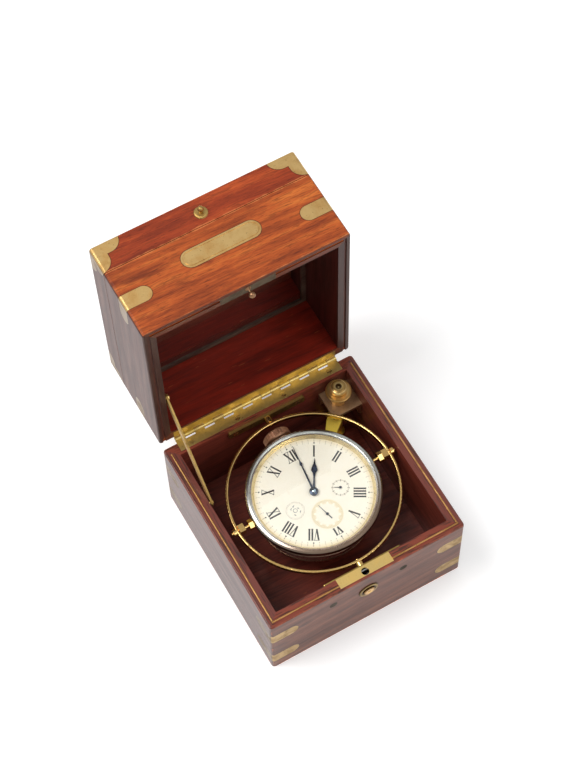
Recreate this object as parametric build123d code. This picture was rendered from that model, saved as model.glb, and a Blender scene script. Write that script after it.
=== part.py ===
from build123d import *
import os
from math import atan2, cos, degrees, hypot, radians, sin, sqrt

# A three-tier box for a deck watch, modelled with its lid stood open.
# Millimetres. The origin is the centre of the base's underside, +X to the right
# seen from the front, +Y to the hinge side, +Z up. The watch's radius and the gaps
# round the gimbal ring settle the width and depth of the box.

# Box
base_height = 54.7
middle_height = 40.1
top_height = 16.1
wall = 7.0
bottom_thickness = 5.0
top_panel_thickness = 5.0
rim_gap = 0.5
tier_gap = 0.4
corner_round = 1.8
edge_round = 0.8

# Running clearances
pin_clearance = 0.05
slide_clearance = 0.3
glass_clearance = 0.2
movement_clearance = 0.2

# Brass bead on the base rim and its groove in the lid rim
bead_inset = 3.0
bead_width = 1.0
bead_proud = 0.6
bead_sunk = 1.0
bead_end_gap = 4.5
groove_width = 1.6
groove_depth = 0.8

# Main hinge, nearly full length, let in flush
hinge_end_gap = 8.5
hinge_knuckles = 17
hinge_out = 2.2
hinge_knuckle_radius = 1.3
hinge_pin_radius = 0.65
hinge_leaf_width = 5.4
hinge_leaf_thickness = 1.2
knuckle_gap = 0.2
hinge_screw_spacing = 28.0

# Hinge of the top lid
top_hinge_length = 70.0
top_hinge_knuckles = 9
top_hinge_out = 1.8
top_hinge_knuckle_radius = 1.5
top_hinge_pin_radius = 0.75
top_hinge_leaf_width = 4.6
top_hinge_leaf_thickness = 1.0
top_hinge_screw_spacing = 20.0

# Countersunk brass screws
screw_head_radius = 1.6
screw_shank_radius = 0.8
screw_cone = 1.0
screw_length = 5.5
screw_slot_width = 0.5
screw_slot_depth = 0.4

# Brass straps and corners, let in flush
strap_thickness = 1.0
strap_length = 16.0
strap_height = 8.7
low_strap_height = 12.0
high_strap_drop = 16.2
middle_strap_height = 20.8
corner_arm_length = 15.8
corner_arm_width = 6.9

# Oval plate on the front of the middle tier
plate_length = 43.5
plate_height = 10.3
plate_thickness = 1.0
plate_drop = 13.3
plate_engraving_depth = 0.25
plate_border_inset = 1.0
plate_border_width = 0.4

# Lock in the front wall, its heights measured down from the rim
lock_plate_length = 31.3
lock_plate_width = 5.6
lock_plate_thickness = 0.8
lock_hole_radius = 2.1
catch_from_inside = 3.3
lock_case_length = 24.0
lock_case_height = 21.0
lock_case_front_inset = 1.2
lock_case_wall = 0.5
latch_half_width = 3.2
latch_thickness = 0.6
latch_foot_gap = 1.4
button_drop = 16.7
button_radius = 3.6
button_proud = 1.3
button_bevel = 0.4
button_dish_radius = 1.5
button_dish_depth = 0.4
button_stem_radius = 1.2
escutcheon_radius = 5.8
escutcheon_proud = 0.6
escutcheon_sunk = 1.2
escutcheon_bevel = 0.6
escutcheon_edge = 0.3
plug_radius = 2.3
plug_spacing = 41.6
plug_drop = 12.2
plug_depth = 2.0

# Catch pin under the lid rim
catch_neck_radius = 0.6
catch_shoulder_radius = 1.1
catch_shoulder_length = 1.2
catch_ball_radius = 1.75
catch_drop = 4.05
catch_collar_radius = 1.6
catch_collar_height = 0.5
catch_root_radius = 1.2
catch_root_length = 8.0
catch_plate_width = 5.2
catch_plate_thickness = 0.8

# Glass in the middle tier
glass_drop = 6.1
glass_thickness = 1.6
glass_bead_width = 2.6
glass_bead_height = 1.6

# Push button of the top lid
top_button_rise = 7.0
top_button_radius = 1.6
top_button_reach = 2.6
top_collar_radius = 3.75
top_collar_thickness = 0.8
top_collar_edge = 0.5
top_collar_slope = 0.3
top_collar_bevel = 1.0
top_stem_radius = 0.9
top_hook_half_width = 2.5
top_hook_thickness = 0.8
top_strike_reach = 0.7
top_strike_height = 1.0

# Watch case, turned about the vertical through the gimbal's centre
band_radius = 33.6
band_wall = 1.0
band_height = 15.5
band_lip = 0.7
band_lip_height = 1.0
band_lip_slope = 0.5
band_bead = 0.5
band_bead_drop = 4.6
band_taper = 2.2
bezel_overhang = 2.5
bezel_rise = 2.3
bezel_drop = 2.6
bezel_seat_inset = 2.4
bezel_seat_depth = 1.4
bezel_slope = 1.4
bezel_lip = 0.5
bezel_crest_inset = 0.9
bezel_crest_drop = 0.3
bezel_shoulder_inset = 0.2
bezel_shoulder_drop = 1.0
bezel_side_drop = 1.9
bezel_foot_height = 1.2
bezel_foot_inset = 0.6
crystal_thickness = 0.9
crystal_rise = 2.6
back_overhang = 0.3
back_rise = 2.6
back_thickness = 1.6
back_rim_width = 2.4
back_dome_inset = 2.0
back_bevel = 0.7
back_edge = 1.0

# Dial, its heights measured from its own face
dial_drop = 1.3
dial_thickness = 0.8
dial_rebate = 1.4
seconds_offset = 14.2
seconds_radius = 8.4
seconds_recess = 0.25
indicator_offset = 14.2
indicator_angle = 108.8

# Crown and stem
crown_drop = 5.5
crown_radius = 7.6
crown_length = 5.2
crown_gap = 0.9
crown_ribs = 30
crown_groove_radius = 0.42
crown_groove_depth = 0.32
crown_inner_bevel = 1.0
crown_inner_slope = 0.8
crown_outer_bevel = 1.4
crown_outer_slope = 1.2
crown_end_wall = 2.1
pendant_radius = 4.6
pendant_length = 2.4
stem_radius = 1.0
stem_root = 3.6

# Gimbal
gimbal_x = 0.7
gimbal_y = -0.4
gimbal_drop = 5.2
ring_crown_gap = 2.7
ring_thickness = 1.5
ring_height = 3.2
ring_round = 0.5
ring_side_gap = 4.2
ring_end_gap = 4.7
ring_pivot_radius = 1.0
ring_pivot_root_radius = 1.4
ring_pivot_collar_radius = 2.1
pivot_plate_length = 46.0
pivot_plate_height = 5.0
pivot_plate_thickness = 1.6
pivot_plate_round = 1.25
pivot_plate_screw_spacing = 38.0
trunnion_radius = 0.9
trunnion_overhang = 0.9
trunnion_root = 2.0
bush_size = 4.4
bush_length = 3.3
bush_neck_radius = 1.25
ring_nut_radius = 2.2
ring_nut_length = 1.7
lock_nut_size = 5.2
lock_nut_length = 2.4
left_nut_gap = 0.4

# Hands, their levels measured up from the dial
hour_angle = 31.0
minute_angle = 6.5
seconds_angle = 345.0
indicator_hand_angle = 300.0
hand_thickness = 0.3
small_hand_thickness = 0.2
hour_hand_length = 19.3
hour_hand_bulb = 12.8
hour_bulb_width = 3.4
hour_root_width = 1.2
minute_hand_gap = 2.9
minute_hand_bulb = 17.0
minute_bulb_width = 1.7
minute_root_width = 1.1
hand_tip_width = 0.24
hand_boss_radius = 2.3
hand_boss_bevel = 1.0
hand_boss_edge = 0.5
hand_boss_height = 1.0
seconds_hand_length = 6.6
seconds_tail_length = 3.4
indicator_hand_length = 3.4
small_tail_half_width = 0.25
small_root_half_width = 0.18
small_tip_half_width = 0.08
seconds_hub_radius = 0.8
indicator_hub_radius = 0.6
seconds_hand_rise = 0.2
indicator_hand_rise = 0.3
hour_hand_rise = 0.8
minute_hand_rise = 1.45
cannon_radius = 0.8
hour_tube_radius = 1.5
small_arbor_radius = 0.4

# Movement, its levels measured up from the back plate
plate_gap = 0.3
pillar_plate_thickness = 2.2
back_plate_thickness = 1.6
pillar_radius = 1.6
pillar_inset = 2.9
barrel_radius = 9.5
barrel_thickness = 4.0
barrel_level = 2.5
barrel_place = (-10.6, -14.5)
wheel_thickness = 0.6
arbor_radius = 0.5
centre_wheel_radius = 7.0
centre_wheel_level = 1.3
third_wheel_radius = 5.5
third_wheel_level = 9.8
third_wheel_place = (8.0, -7.0)
fourth_wheel_radius = 5.0
fourth_wheel_level = 6.8
escape_wheel_radius = 3.5
escape_wheel_level = 4.8
escape_wheel_place = (9.0, -19.0)
balance_radius = 8.0
balance_rim = 1.0
balance_thickness = 1.2
balance_place = (12.0, 12.0)
balance_level = 2.8

# Gimbal lock in the rear right corner, its place measured from the inner walls
post_from_side = 9.7
post_from_back = 8.1
post_radius = 2.5
post_thread_radius = 2.0
post_thread_inset = 5.5
post_collar_radius = 3.6
post_collar_height = 2.0
post_collar_cone = 0.5
corner_plate_size_x = 17.4
corner_plate_size_y = 16.7
corner_plate_drop = 11.6
corner_plate_thickness = 2.0
corner_plate_flange = 9.0
corner_screw_insets = (5.1, 12.6)
corner_screw_drop = 5.85
arm_drop = 5.1
arm_thickness = 2.4
arm_hub_radius = 4.4
arm_watch_gap = 5.0
arm_taper_length = 9.5
arm_root_width = 7.8
arm_tip_width = 5.2

# Knob of the gimbal lock, from its top down
knob_rise = 3.7
knob_cap_radius = 4.7
knob_cap_round = 0.5
knob_cap_bevel = 1.4
knob_face_inset = 1.6
knob_mark_radius = 1.2
knob_mark_floor_radius = 0.8
knob_mark_depth = 1.0
knob_cap_height = 3.0
knob_waist_inset = 1.2
knob_waist_height = 0.9
knob_flange_drop = 4.6
knob_flange_radius = 7.1
knob_flange_edge = 0.5
knob_flange_height = 1.7
knob_stem_radius = 4.2
knob_neck_inset = 0.7
knob_neck_drop = 2.8
knob_neck_length = 0.8
knob_end_wall = 5.2

# Lid stay on the left, hinged in the lid
stay_from_hinge = 45.05
stay_above_hinge = 2.0
stay_length = 63.2
stay_angle = 227.5
stay_width = 4.4
stay_thickness = 1.0
stay_stand_off = 0.6
stay_pivot_radius = 0.8
stay_pivot_head_radius = 1.6
stay_pivot_root = 4.0
stay_stud_radius = 1.0
stay_stud_root = 3.0
stay_rivet_radius = 1.3
stay_rivet_height = 0.5

# Worked out from the sizes above: the watch outwards to the box
bezel_radius = band_radius + bezel_overhang
bezel_seat_radius = bezel_radius - bezel_seat_inset
foot_radius = band_radius - band_taper
back_radius = foot_radius + back_overhang
dial_radius = band_radius - band_wall
dial_opening = dial_radius - dial_rebate
plate_radius = foot_radius - band_wall - plate_gap
pillar_circle = plate_radius - pillar_inset
minute_hand_length = dial_opening - minute_hand_gap
pendant_reach = band_radius + pendant_length
crown_start = pendant_reach + crown_gap
crown_end = crown_start + crown_length
stem_inner_end = band_radius - stem_root
stem_outer_end = crown_end - crown_end_wall
ring_inner_radius = crown_end + ring_crown_gap
ring_outer_radius = ring_inner_radius + ring_thickness
trunnion_reach = ring_outer_radius + ring_nut_length + trunnion_overhang
left_nut_place = bezel_radius + left_nut_gap
right_nut_place = ring_inner_radius - bush_length - slide_clearance - lock_nut_length
inner_x = ring_outer_radius + ring_side_gap
inner_y = ring_outer_radius + ring_end_gap
half_width = inner_x + wall
half_depth = inner_y + wall
hinge_length = 2 * (half_width - hinge_end_gap)
bead_back_end = half_depth - bead_end_gap

# Heights of the base and the watch
gimbal_z = base_height - gimbal_drop
bezel_top = gimbal_z + bezel_rise
bezel_base = gimbal_z - bezel_drop
band_base = bezel_base - band_height
crown_z = gimbal_z - crown_drop
dial_top = gimbal_z - dial_drop
dial_base = dial_top - dial_thickness
plates_top = dial_base - pillar_plate_thickness
plates_bottom = band_base + movement_clearance + back_plate_thickness
movement_height = plates_top - plates_bottom
hour_hand_z = dial_top + hour_hand_rise
minute_hand_z = dial_top + minute_hand_rise
button_z = base_height - button_drop
plug_z = base_height - plug_drop
corner_plate_top = base_height - corner_plate_drop
arm_top = corner_plate_top - arm_drop
knob_top = base_height + knob_rise
base_strap_levels = (low_strap_height, base_height - high_strap_drop)

# Heights of the lid when it is shut, and the two hinge lines
lid_rim = base_height + rim_gap
middle_top = lid_rim + middle_height
top_rim = middle_top + tier_gap
box_top = top_rim + top_height
plate_z = middle_top - plate_drop
glass_bead_base = middle_top - glass_drop
top_button_z = top_rim + top_button_rise
catch_ball_z = lid_rim - catch_drop
hook_bottom = middle_top - top_strike_height - slide_clearance / 2 - top_hook_thickness
pivot_y = half_depth + hinge_out
pivot_z = base_height + rim_gap / 2

# Places in plan, and the stay's ends with the lid open and shut
catch_y = -inner_y - catch_from_inside
catch_plate_end = lock_plate_length / 2 - slide_clearance
latch_back = catch_y + catch_neck_radius
lock_case_floor = base_height - lock_plate_thickness - lock_case_height + lock_case_wall
post_x = inner_x - post_from_side
post_y = inner_y - post_from_back
arm_length = hypot(post_x, post_y) - band_radius - arm_watch_gap
indicator_place = (
    indicator_offset * sin(radians(indicator_angle)),
    indicator_offset * cos(radians(indicator_angle)),
)
stay_upper_y = pivot_y + stay_above_hinge
stay_upper_z = pivot_z + stay_from_hinge
stay_lower_y = stay_upper_y + stay_length * cos(radians(stay_angle))
stay_lower_z = stay_upper_z + stay_length * sin(radians(stay_angle))
stay_shut_y = pivot_y - stay_from_hinge
stay_shut_z = pivot_z + stay_above_hinge
all_corners = [(-1, -1), (1, -1), (1, 1), (-1, 1)]
cut_margin = 1.0

os.makedirs("parts", exist_ok=True)


# Shapes used by more than one piece

def block(x0, x1, y0, y1, z0, z1):
    """A box between two corners."""
    centre = ((x0 + x1) / 2, (y0 + y1) / 2, (z0 + z1) / 2)
    return Pos(*centre) * Box(x1 - x0, y1 - y0, z1 - z0)


def turned(outline):
    """A solid of revolution about +Z from (radius, height) corners."""
    face = Plane.XZ * make_face(Polyline(*outline, close=True))
    return revolve(face, Axis.Z)


def rod(x, y, z, direction, radius, length):
    """A cylinder that starts at a point and runs along a signed axis name."""
    plane = Plane(origin=(x, y, z), z_dir=axes[direction])
    return plane * Cylinder(radius, length, align=(Align.CENTER, Align.CENTER, Align.MIN))


axes = {
    "x": (1, 0, 0),
    "-x": (-1, 0, 0),
    "y": (0, 1, 0),
    "-y": (0, -1, 0),
    "z": (0, 0, 1),
    "-z": (0, 0, -1),
}


def screw(x, y, z, direction):
    """A countersunk screw whose head is flush at a point, driven along a signed axis."""
    body = turned([
        (0, 0),
        (screw_head_radius, 0),
        (screw_shank_radius, -screw_cone),
        (screw_shank_radius, -screw_length),
        (0, -screw_length),
    ])
    head_side = {"x": "-x", "-x": "x", "y": "-y", "-y": "y", "z": "-z", "-z": "z"}
    body -= block(-screw_head_radius, screw_head_radius,
                  -screw_slot_width / 2, screw_slot_width / 2, -screw_slot_depth, cut_margin)
    return Plane(origin=(x, y, z), z_dir=axes[head_side[direction]]) * body


def screws(places):
    """Screws at a list of (x, y, z, direction)."""
    return [screw(*place) for place in places]


def without(shape, tools):
    """A shape less each solid of a list."""
    for tool in tools:
        shape -= tool
    return shape


def opened(shape):
    """A piece of the lid, modelled shut, carried to where it stands open."""
    return shape.rotate(Axis((0, pivot_y, pivot_z), (1, 0, 0)), -90)


def at_watch(shape):
    """A piece of the watch, modelled about the Z axis, set in the gimbal."""
    return Pos(gimbal_x, gimbal_y, 0) * shape


def save(name, shapes):
    """Writes one node, one solid or a group of separate solids."""
    solids = []
    for shape in shapes if isinstance(shapes, (list, tuple)) else [shapes]:
        solids += shape.solids()
    group = solids[0] if len(solids) == 1 else Compound(children=solids)
    export_step(group, "parts/" + name + ".step")


def save_lid(name, shapes):
    """Writes a node of the lid at the open place."""
    shapes = shapes if isinstance(shapes, (list, tuple)) else [shapes]
    save(name, [opened(shape) for shape in shapes])


# Wooden tiers

def tier(z0, z1, rounded_end=None):
    """The outer block of one tier, with its corners and one end's edges eased."""
    body = block(-half_width, half_width, -half_depth, half_depth, z0, z1)
    body = fillet(body.edges().filter_by(Axis.Z), corner_round)
    if rounded_end is not None:
        body = fillet(body.faces().sort_by(Axis.Z)[rounded_end].edges(), edge_round)
    return body


def mitred_boards(body, z0, z1):
    """Front, back, left and right boards of a tier, cut apart at the corner mitres."""
    reach = 2 * wall
    frame = body - block(-inner_x, inner_x, -inner_y, inner_y, z0 - cut_margin, z1 + cut_margin)
    near_x = half_width - reach
    near_y = half_depth - reach
    boards = []
    for index in range(4):
        ax, ay = all_corners[index]
        bx, by = all_corners[(index + 1) % 4]
        outline = [
            (ax * half_width, ay * half_depth),
            (bx * half_width, by * half_depth),
            (bx * near_x, by * near_y),
            (ax * near_x, ay * near_y),
        ]
        face = make_face(Polyline(*outline, close=True))
        wedge = Pos(0, 0, z0 - cut_margin) * extrude(face, z1 - z0 + 2 * cut_margin, dir=(0, 0, 1))
        boards.append(frame & wedge)
    front, right, back, left = boards
    return front, back, left, right


def corner_strap(body, side_x, side_y, height):
    """A round-ended brass strap let in round one upright corner."""
    tab = extrude(SlotOverall(2 * strap_length, strap_height), strap_thickness, both=True)
    corner = Pos(side_x * half_width, side_y * half_depth, height)
    return (corner * (Plane.XZ * tab + Plane.YZ * tab)) & body


def corner_brass(body, side_x, side_y):
    """A brass let in over one top corner, an L with round ends on each face."""
    corner = Pos(side_x * half_width, side_y * half_depth, box_top)
    front = Plane.XZ * corner_outline(-side_x, -1)
    flank = Plane.YZ * corner_outline(-side_y, -1)
    lid = corner_outline(-side_x, -side_y)
    return (corner * (front + flank + lid)) & body


def corner_outline(to_u, to_v):
    """A flat L about a corner at the origin, with arms towards +-U and +-V."""
    straight = corner_arm_length - corner_arm_width
    width = 2 * corner_arm_width
    outline = Pos(to_u * straight / 2, 0) * Rectangle(straight, width)
    outline += Pos(to_u * straight, 0) * Circle(corner_arm_width)
    outline += Pos(0, to_v * straight / 2) * Rectangle(width, straight)
    outline += Pos(0, to_v * straight) * Circle(corner_arm_width)
    return extrude(outline, strap_thickness, both=True)


# Hinges

def hinge(out, rim, gap, length, count, knuckle_radius, pin_radius, leaf_width, leaf_thickness):
    """Lower leaf, upper leaf, pin and the two rebates of a butt hinge on the back."""
    axis_y = half_depth + out
    axis_z = rim + gap / 2
    leaf_front = half_depth - leaf_width
    low = (rim - leaf_thickness, rim)
    high = (rim + gap, rim + gap + leaf_thickness)
    pitch = length / count
    lower_rebate = block(-length / 2, length / 2, leaf_front, half_depth, *low)
    upper_rebate = block(-length / 2, length / 2, leaf_front, half_depth, *high)
    leaves = [lower_rebate, upper_rebate]
    bore = rod(-length / 2 - cut_margin, axis_y, axis_z, "x",
               pin_radius + pin_clearance, length + 2 * cut_margin)
    for index in range(count):
        x0 = -length / 2 + index * pitch + knuckle_gap / 2
        x1 = x0 + pitch - knuckle_gap
        side = index % 2
        knuckle = rod(x0, axis_y, axis_z, "x", knuckle_radius, x1 - x0)
        tongue = block(x0, x1, half_depth, axis_y, *(low, high)[side])
        leaves[side] += (knuckle + tongue) - bore
    pin = rod(-length / 2, axis_y, axis_z, "x", pin_radius, length)
    return leaves[0], leaves[1], pin, lower_rebate, upper_rebate


def spread(count, spacing):
    """Places along X, evenly spaced about the middle."""
    return [(index - (count - 1) / 2) * spacing for index in range(count)]


# Pieces of the base

def bead_strips():
    """The brass bead on the rim: left, right and two lengths at the front."""
    x = half_width - bead_inset
    y = -half_depth + bead_inset
    half = bead_width / 2
    plate_end = lock_plate_length / 2
    strips = [bead_run(side * x, y + half, side * x, bead_back_end) for side in (-1, 1)]
    strips.append(bead_run(-x - half, y, -plate_end, y))
    strips.append(bead_run(plate_end, y, x + half, y))
    return strips


def bead_run(x0, y0, x1, y1):
    """A straight bead with a half-round top."""
    half = bead_width / 2
    crown = base_height + bead_proud - half
    floor = base_height - bead_sunk
    if x0 == x1:
        foot = block(x0 - half, x0 + half, y0, y1, floor, crown)
        return foot + rod(x0, y0, crown, "y", half, y1 - y0)
    foot = block(x0, x1, y0 - half, y0 + half, floor, crown)
    return foot + rod(x0, y0, crown, "x", half, x1 - x0)


def lock_plate():
    """The flush plate on the front rim, with the hole for the catch pin."""
    half = lock_plate_length / 2
    plate = block(-half, half, -inner_y - lock_plate_width, -inner_y,
                  base_height - lock_plate_thickness, base_height)
    return plate - rod(0, catch_y, base_height + cut_margin, "-z", lock_hole_radius, 4 * cut_margin)


def lock_case():
    """The case under the lock plate and the mortise that it fills."""
    half = lock_case_length / 2
    top = base_height - lock_plate_thickness
    front = -half_depth + lock_case_front_inset
    mortise = block(-half, half, front, -inner_y, top - lock_case_height, top)
    room = block(-half + lock_case_wall, half - lock_case_wall,
                 front + lock_case_wall, -inner_y - lock_case_wall,
                 lock_case_floor, top + cut_margin)
    stem_hole = rod(0, -half_depth, button_z, "y", button_stem_radius + pin_clearance,
                    lock_case_front_inset + cut_margin)
    return mortise - room - stem_hole, mortise


def latch_plate():
    """The sliding latch: a tail, two cheeks beside the catch pin and a hooked bar."""
    bar_front = catch_y + catch_neck_radius + slide_clearance
    bar_bottom = catch_ball_z + catch_ball_radius + slide_clearance / 2
    bar_top = bar_bottom + latch_thickness
    front = latch_back - latch_thickness
    slot = catch_ball_radius + slide_clearance
    tail_top = catch_ball_z - catch_ball_radius - slide_clearance
    plate = block(-latch_half_width, latch_half_width, front, latch_back,
                  lock_case_floor + latch_foot_gap, tail_top)
    for side in (-1, 1):
        inner, outer = sorted((side * slot, side * latch_half_width))
        plate += block(inner, outer, front, latch_back, tail_top, bar_top)
        plate += block(inner, outer, front, bar_front + latch_thickness, bar_bottom, bar_top)
    plate += block(-latch_half_width, latch_half_width, bar_front, bar_front + latch_thickness,
                   bar_bottom, bar_top)
    stem_length = front + half_depth
    return plate + rod(0, -half_depth, button_z, "y", button_stem_radius, stem_length)


def push_button():
    """The turned brass button with a dished face."""
    radius = button_radius - slide_clearance
    outline = [
        (0, 0),
        (radius, 0),
        (radius, button_proud - button_bevel),
        (radius - button_bevel, button_proud),
        (button_dish_radius, button_proud),
        (button_dish_radius / 2, button_proud - button_dish_depth),
        (0, button_proud - button_dish_depth),
    ]
    return front_plane(button_z) * turned(outline)


def front_plane(height):
    """A plane on the front face whose +Z points out of the box."""
    return Plane(origin=(0, -half_depth, height), x_dir=(1, 0, 0), z_dir=(0, -1, 0))


def escutcheon():
    """The turned ring round the push button, let into the front."""
    outline = [
        (button_radius, -escutcheon_sunk),
        (escutcheon_radius, -escutcheon_sunk),
        (escutcheon_radius, escutcheon_proud - escutcheon_edge),
        (escutcheon_radius - escutcheon_bevel, escutcheon_proud),
        (button_radius + escutcheon_bevel, escutcheon_proud),
        (button_radius, escutcheon_proud - escutcheon_edge),
    ]
    return front_plane(button_z) * turned(outline)


def pivot_plate(side):
    """The brass strip inside the front or back wall that carries a ring pivot."""
    half = pivot_plate_length / 2
    outer = side * inner_y
    inner = side * (inner_y - pivot_plate_thickness)
    strip = block(gimbal_x - half, gimbal_x + half, min(inner, outer), max(inner, outer),
                  gimbal_z - pivot_plate_height / 2, gimbal_z + pivot_plate_height / 2)
    return fillet(strip.edges().filter_by(Axis.Y), pivot_plate_round)


def ring_pivot(side):
    """A pivot riveted in its strip: root, collar and the pin in the ring."""
    direction = "y" if side < 0 else "-y"
    face = side * (inner_y - pivot_plate_thickness)
    collar_end = gimbal_y + side * (ring_outer_radius + slide_clearance)
    pin_end = gimbal_y + side * (ring_inner_radius - slide_clearance)
    root = rod(gimbal_x, side * inner_y, gimbal_z, direction,
               ring_pivot_root_radius, pivot_plate_thickness)
    collar = rod(gimbal_x, face, gimbal_z, direction,
                 ring_pivot_collar_radius, abs(face - collar_end))
    pin = rod(gimbal_x, collar_end, gimbal_z, direction,
              ring_pivot_radius, abs(collar_end - pin_end))
    return root + collar + pin


def corner_plate():
    """The brass shelf in the rear right corner, with a flange down each wall."""
    x0 = inner_x - corner_plate_size_x
    y0 = inner_y - corner_plate_size_y
    bottom = corner_plate_top - corner_plate_thickness
    shelf = block(x0, inner_x, y0, inner_y, bottom, corner_plate_top)
    low = corner_plate_top - corner_plate_flange
    shelf += block(x0, inner_x, inner_y - corner_plate_thickness, inner_y, low, bottom)
    shelf += block(inner_x - corner_plate_thickness, inner_x, y0, inner_y, low, bottom)
    hole_depth = corner_plate_thickness + 2 * cut_margin
    return shelf - rod(post_x, post_y, corner_plate_top + cut_margin, "-z", post_radius, hole_depth)


def lock_post():
    """The upright post: foot on the floor, collar under the arm, thread at the top."""
    collar_top = arm_top - arm_thickness - pin_clearance
    collar_base = collar_top - post_collar_height
    foot_top = bottom_thickness + post_collar_height
    thread_top = knob_top - post_thread_inset
    outline = [
        (0, bottom_thickness),
        (post_collar_radius, bottom_thickness),
        (post_collar_radius, foot_top),
        (post_radius, foot_top),
        (post_radius, collar_base - post_collar_cone),
        (post_collar_radius, collar_base),
        (post_collar_radius, collar_top),
        (post_radius, collar_top),
        (post_radius, corner_plate_top),
        (post_thread_radius, corner_plate_top),
        (post_thread_radius, thread_top),
        (0, thread_top),
    ]
    return Pos(post_x, post_y, 0) * turned(outline)


def lock_arm():
    """The swinging arm whose tongue lies under the ring, pointing at its centre."""
    hub = rod(0, 0, arm_top - arm_thickness, "z", arm_hub_radius, arm_thickness)
    taper_start = arm_length - arm_taper_length
    outline = [
        (0, -arm_root_width / 2),
        (taper_start, -arm_root_width / 2),
        (arm_length, -arm_tip_width / 2),
        (arm_length, arm_tip_width / 2),
        (taper_start, arm_root_width / 2),
        (0, arm_root_width / 2),
    ]
    face = make_face(Polyline(*outline, close=True))
    tongue = Pos(0, 0, arm_top - arm_thickness) * extrude(face, arm_thickness, dir=(0, 0, 1))
    bore = rod(0, 0, arm_top + cut_margin, "-z", post_radius + pin_clearance,
               arm_thickness + 2 * cut_margin)
    heading = degrees(atan2(-post_y, -post_x))
    return Pos(post_x, post_y, 0) * (Rot(0, 0, heading) * (hub + tongue - bore))


def lock_knob():
    """The stepped knob on the post's thread, with a centre mark in its cap."""
    flange = knob_top - knob_flange_drop
    flange_low = flange - knob_flange_height
    neck = flange - knob_neck_drop
    neck_radius = knob_stem_radius - knob_neck_inset
    waist = knob_cap_radius - knob_waist_inset
    bore = post_thread_radius + pin_clearance
    bore_end = knob_top - knob_end_wall
    outline = [
        (bore, corner_plate_top + slide_clearance),
        (knob_stem_radius, corner_plate_top + slide_clearance),
        (knob_stem_radius, neck - 2 * knob_neck_length),
        (neck_radius, neck - knob_neck_length),
        (neck_radius, neck),
        (knob_stem_radius, flange_low),
        (knob_flange_radius - knob_flange_edge, flange_low),
        (knob_flange_radius, flange_low + knob_flange_edge),
        (knob_flange_radius, flange - knob_flange_edge),
        (knob_flange_radius - knob_flange_edge, flange),
        (waist, flange),
        (waist, flange + knob_waist_height),
        (knob_cap_radius, knob_top - knob_cap_height),
        (knob_cap_radius, knob_top - knob_cap_bevel),
        (knob_cap_radius - knob_cap_round, knob_top - knob_cap_round),
        (knob_cap_radius - knob_face_inset, knob_top),
        (knob_mark_radius, knob_top),
        (knob_mark_floor_radius, knob_top - knob_mark_depth),
        (0, knob_top - knob_mark_depth),
        (0, bore_end),
        (bore, bore_end),
    ]
    return Pos(post_x, post_y, 0) * turned(outline)


# Pieces of the lid, modelled shut

def catch_pin():
    """The ball-headed pin under the front rim that the latch holds."""
    outline = [
        (0, lid_rim + catch_root_length),
        (catch_root_radius, lid_rim + catch_root_length),
        (catch_root_radius, lid_rim + catch_collar_height),
        (catch_collar_radius, lid_rim + catch_collar_height),
        (catch_collar_radius, lid_rim),
        (catch_shoulder_radius, lid_rim),
        (catch_neck_radius, lid_rim - catch_shoulder_length),
        (catch_neck_radius, catch_ball_z),
        (0, catch_ball_z),
    ]
    pin = turned(outline) + Pos(0, 0, catch_ball_z) * Sphere(catch_ball_radius)
    return Pos(0, catch_y, 0) * pin


def catch_plate():
    """The plate let into the lid's rim over the lock plate, round the catch pin."""
    return block(-catch_plate_end, catch_plate_end, -inner_y - catch_plate_width, -inner_y,
                 lid_rim, lid_rim + catch_plate_thickness)


def front_plate_blank():
    """The round-ended plate on the front before engraving, let in flush."""
    plate = extrude(SlotOverall(plate_length, plate_height), plate_thickness)
    return front_plane(plate_z) * (Pos(0, 0, -plate_thickness) * plate)


def front_plate():
    """The round-ended plate with a plain engraved border."""
    outer = plate_border_inset
    inner = plate_border_inset + plate_border_width
    border = SlotOverall(plate_length - 2 * outer, plate_height - 2 * outer)
    border -= SlotOverall(plate_length - 2 * inner, plate_height - 2 * inner)
    line = extrude(border, plate_engraving_depth, both=True)
    return front_plate_blank() - front_plane(plate_z) * line


def glass_beads():
    """Four mitre-free wooden beads under the glass, glued inside the walls."""
    z0 = glass_bead_base
    z1 = z0 + glass_bead_height
    width = glass_bead_width
    beads = []
    for side in (-1, 1):
        outer, inner = side * inner_y, side * (inner_y - width)
        beads.append(block(-inner_x, inner_x, min(outer, inner), max(outer, inner), z0, z1))
        outer, inner = side * inner_x, side * (inner_x - width)
        beads.append(block(min(outer, inner), max(outer, inner),
                           -inner_y + width, inner_y - width, z0, z1))
    return beads


def glass_pane():
    """The flat glass that rests on the beads."""
    z0 = glass_bead_base + glass_bead_height
    reach_x = inner_x - glass_clearance
    reach_y = inner_y - glass_clearance
    return block(-reach_x, reach_x, -reach_y, reach_y, z0, z0 + glass_thickness)


def top_button():
    """The ball button of the top lid, its stem and the hook behind the wall."""
    ball_y = -half_depth - top_button_reach - top_collar_thickness
    hook_front = -inner_y + slide_clearance + top_strike_reach
    hook_back = hook_front + top_hook_thickness
    half = top_hook_half_width
    ball = Pos(0, ball_y, top_button_z) * Sphere(top_button_radius)
    stem = rod(0, ball_y, top_button_z, "y", top_stem_radius, hook_front - ball_y)
    plate = block(-half, half, hook_front, hook_back, hook_bottom, top_button_z + half)
    tooth = block(-half, half, -inner_y + slide_clearance, hook_front,
                  hook_bottom, hook_bottom + top_hook_thickness)
    return ball + stem + plate + tooth


def top_strike():
    """The small plate in the middle tier that the hook holds."""
    half = top_hook_half_width
    return block(-half, half, -inner_y, -inner_y + top_strike_reach,
                 middle_top - top_strike_height, middle_top)


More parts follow.
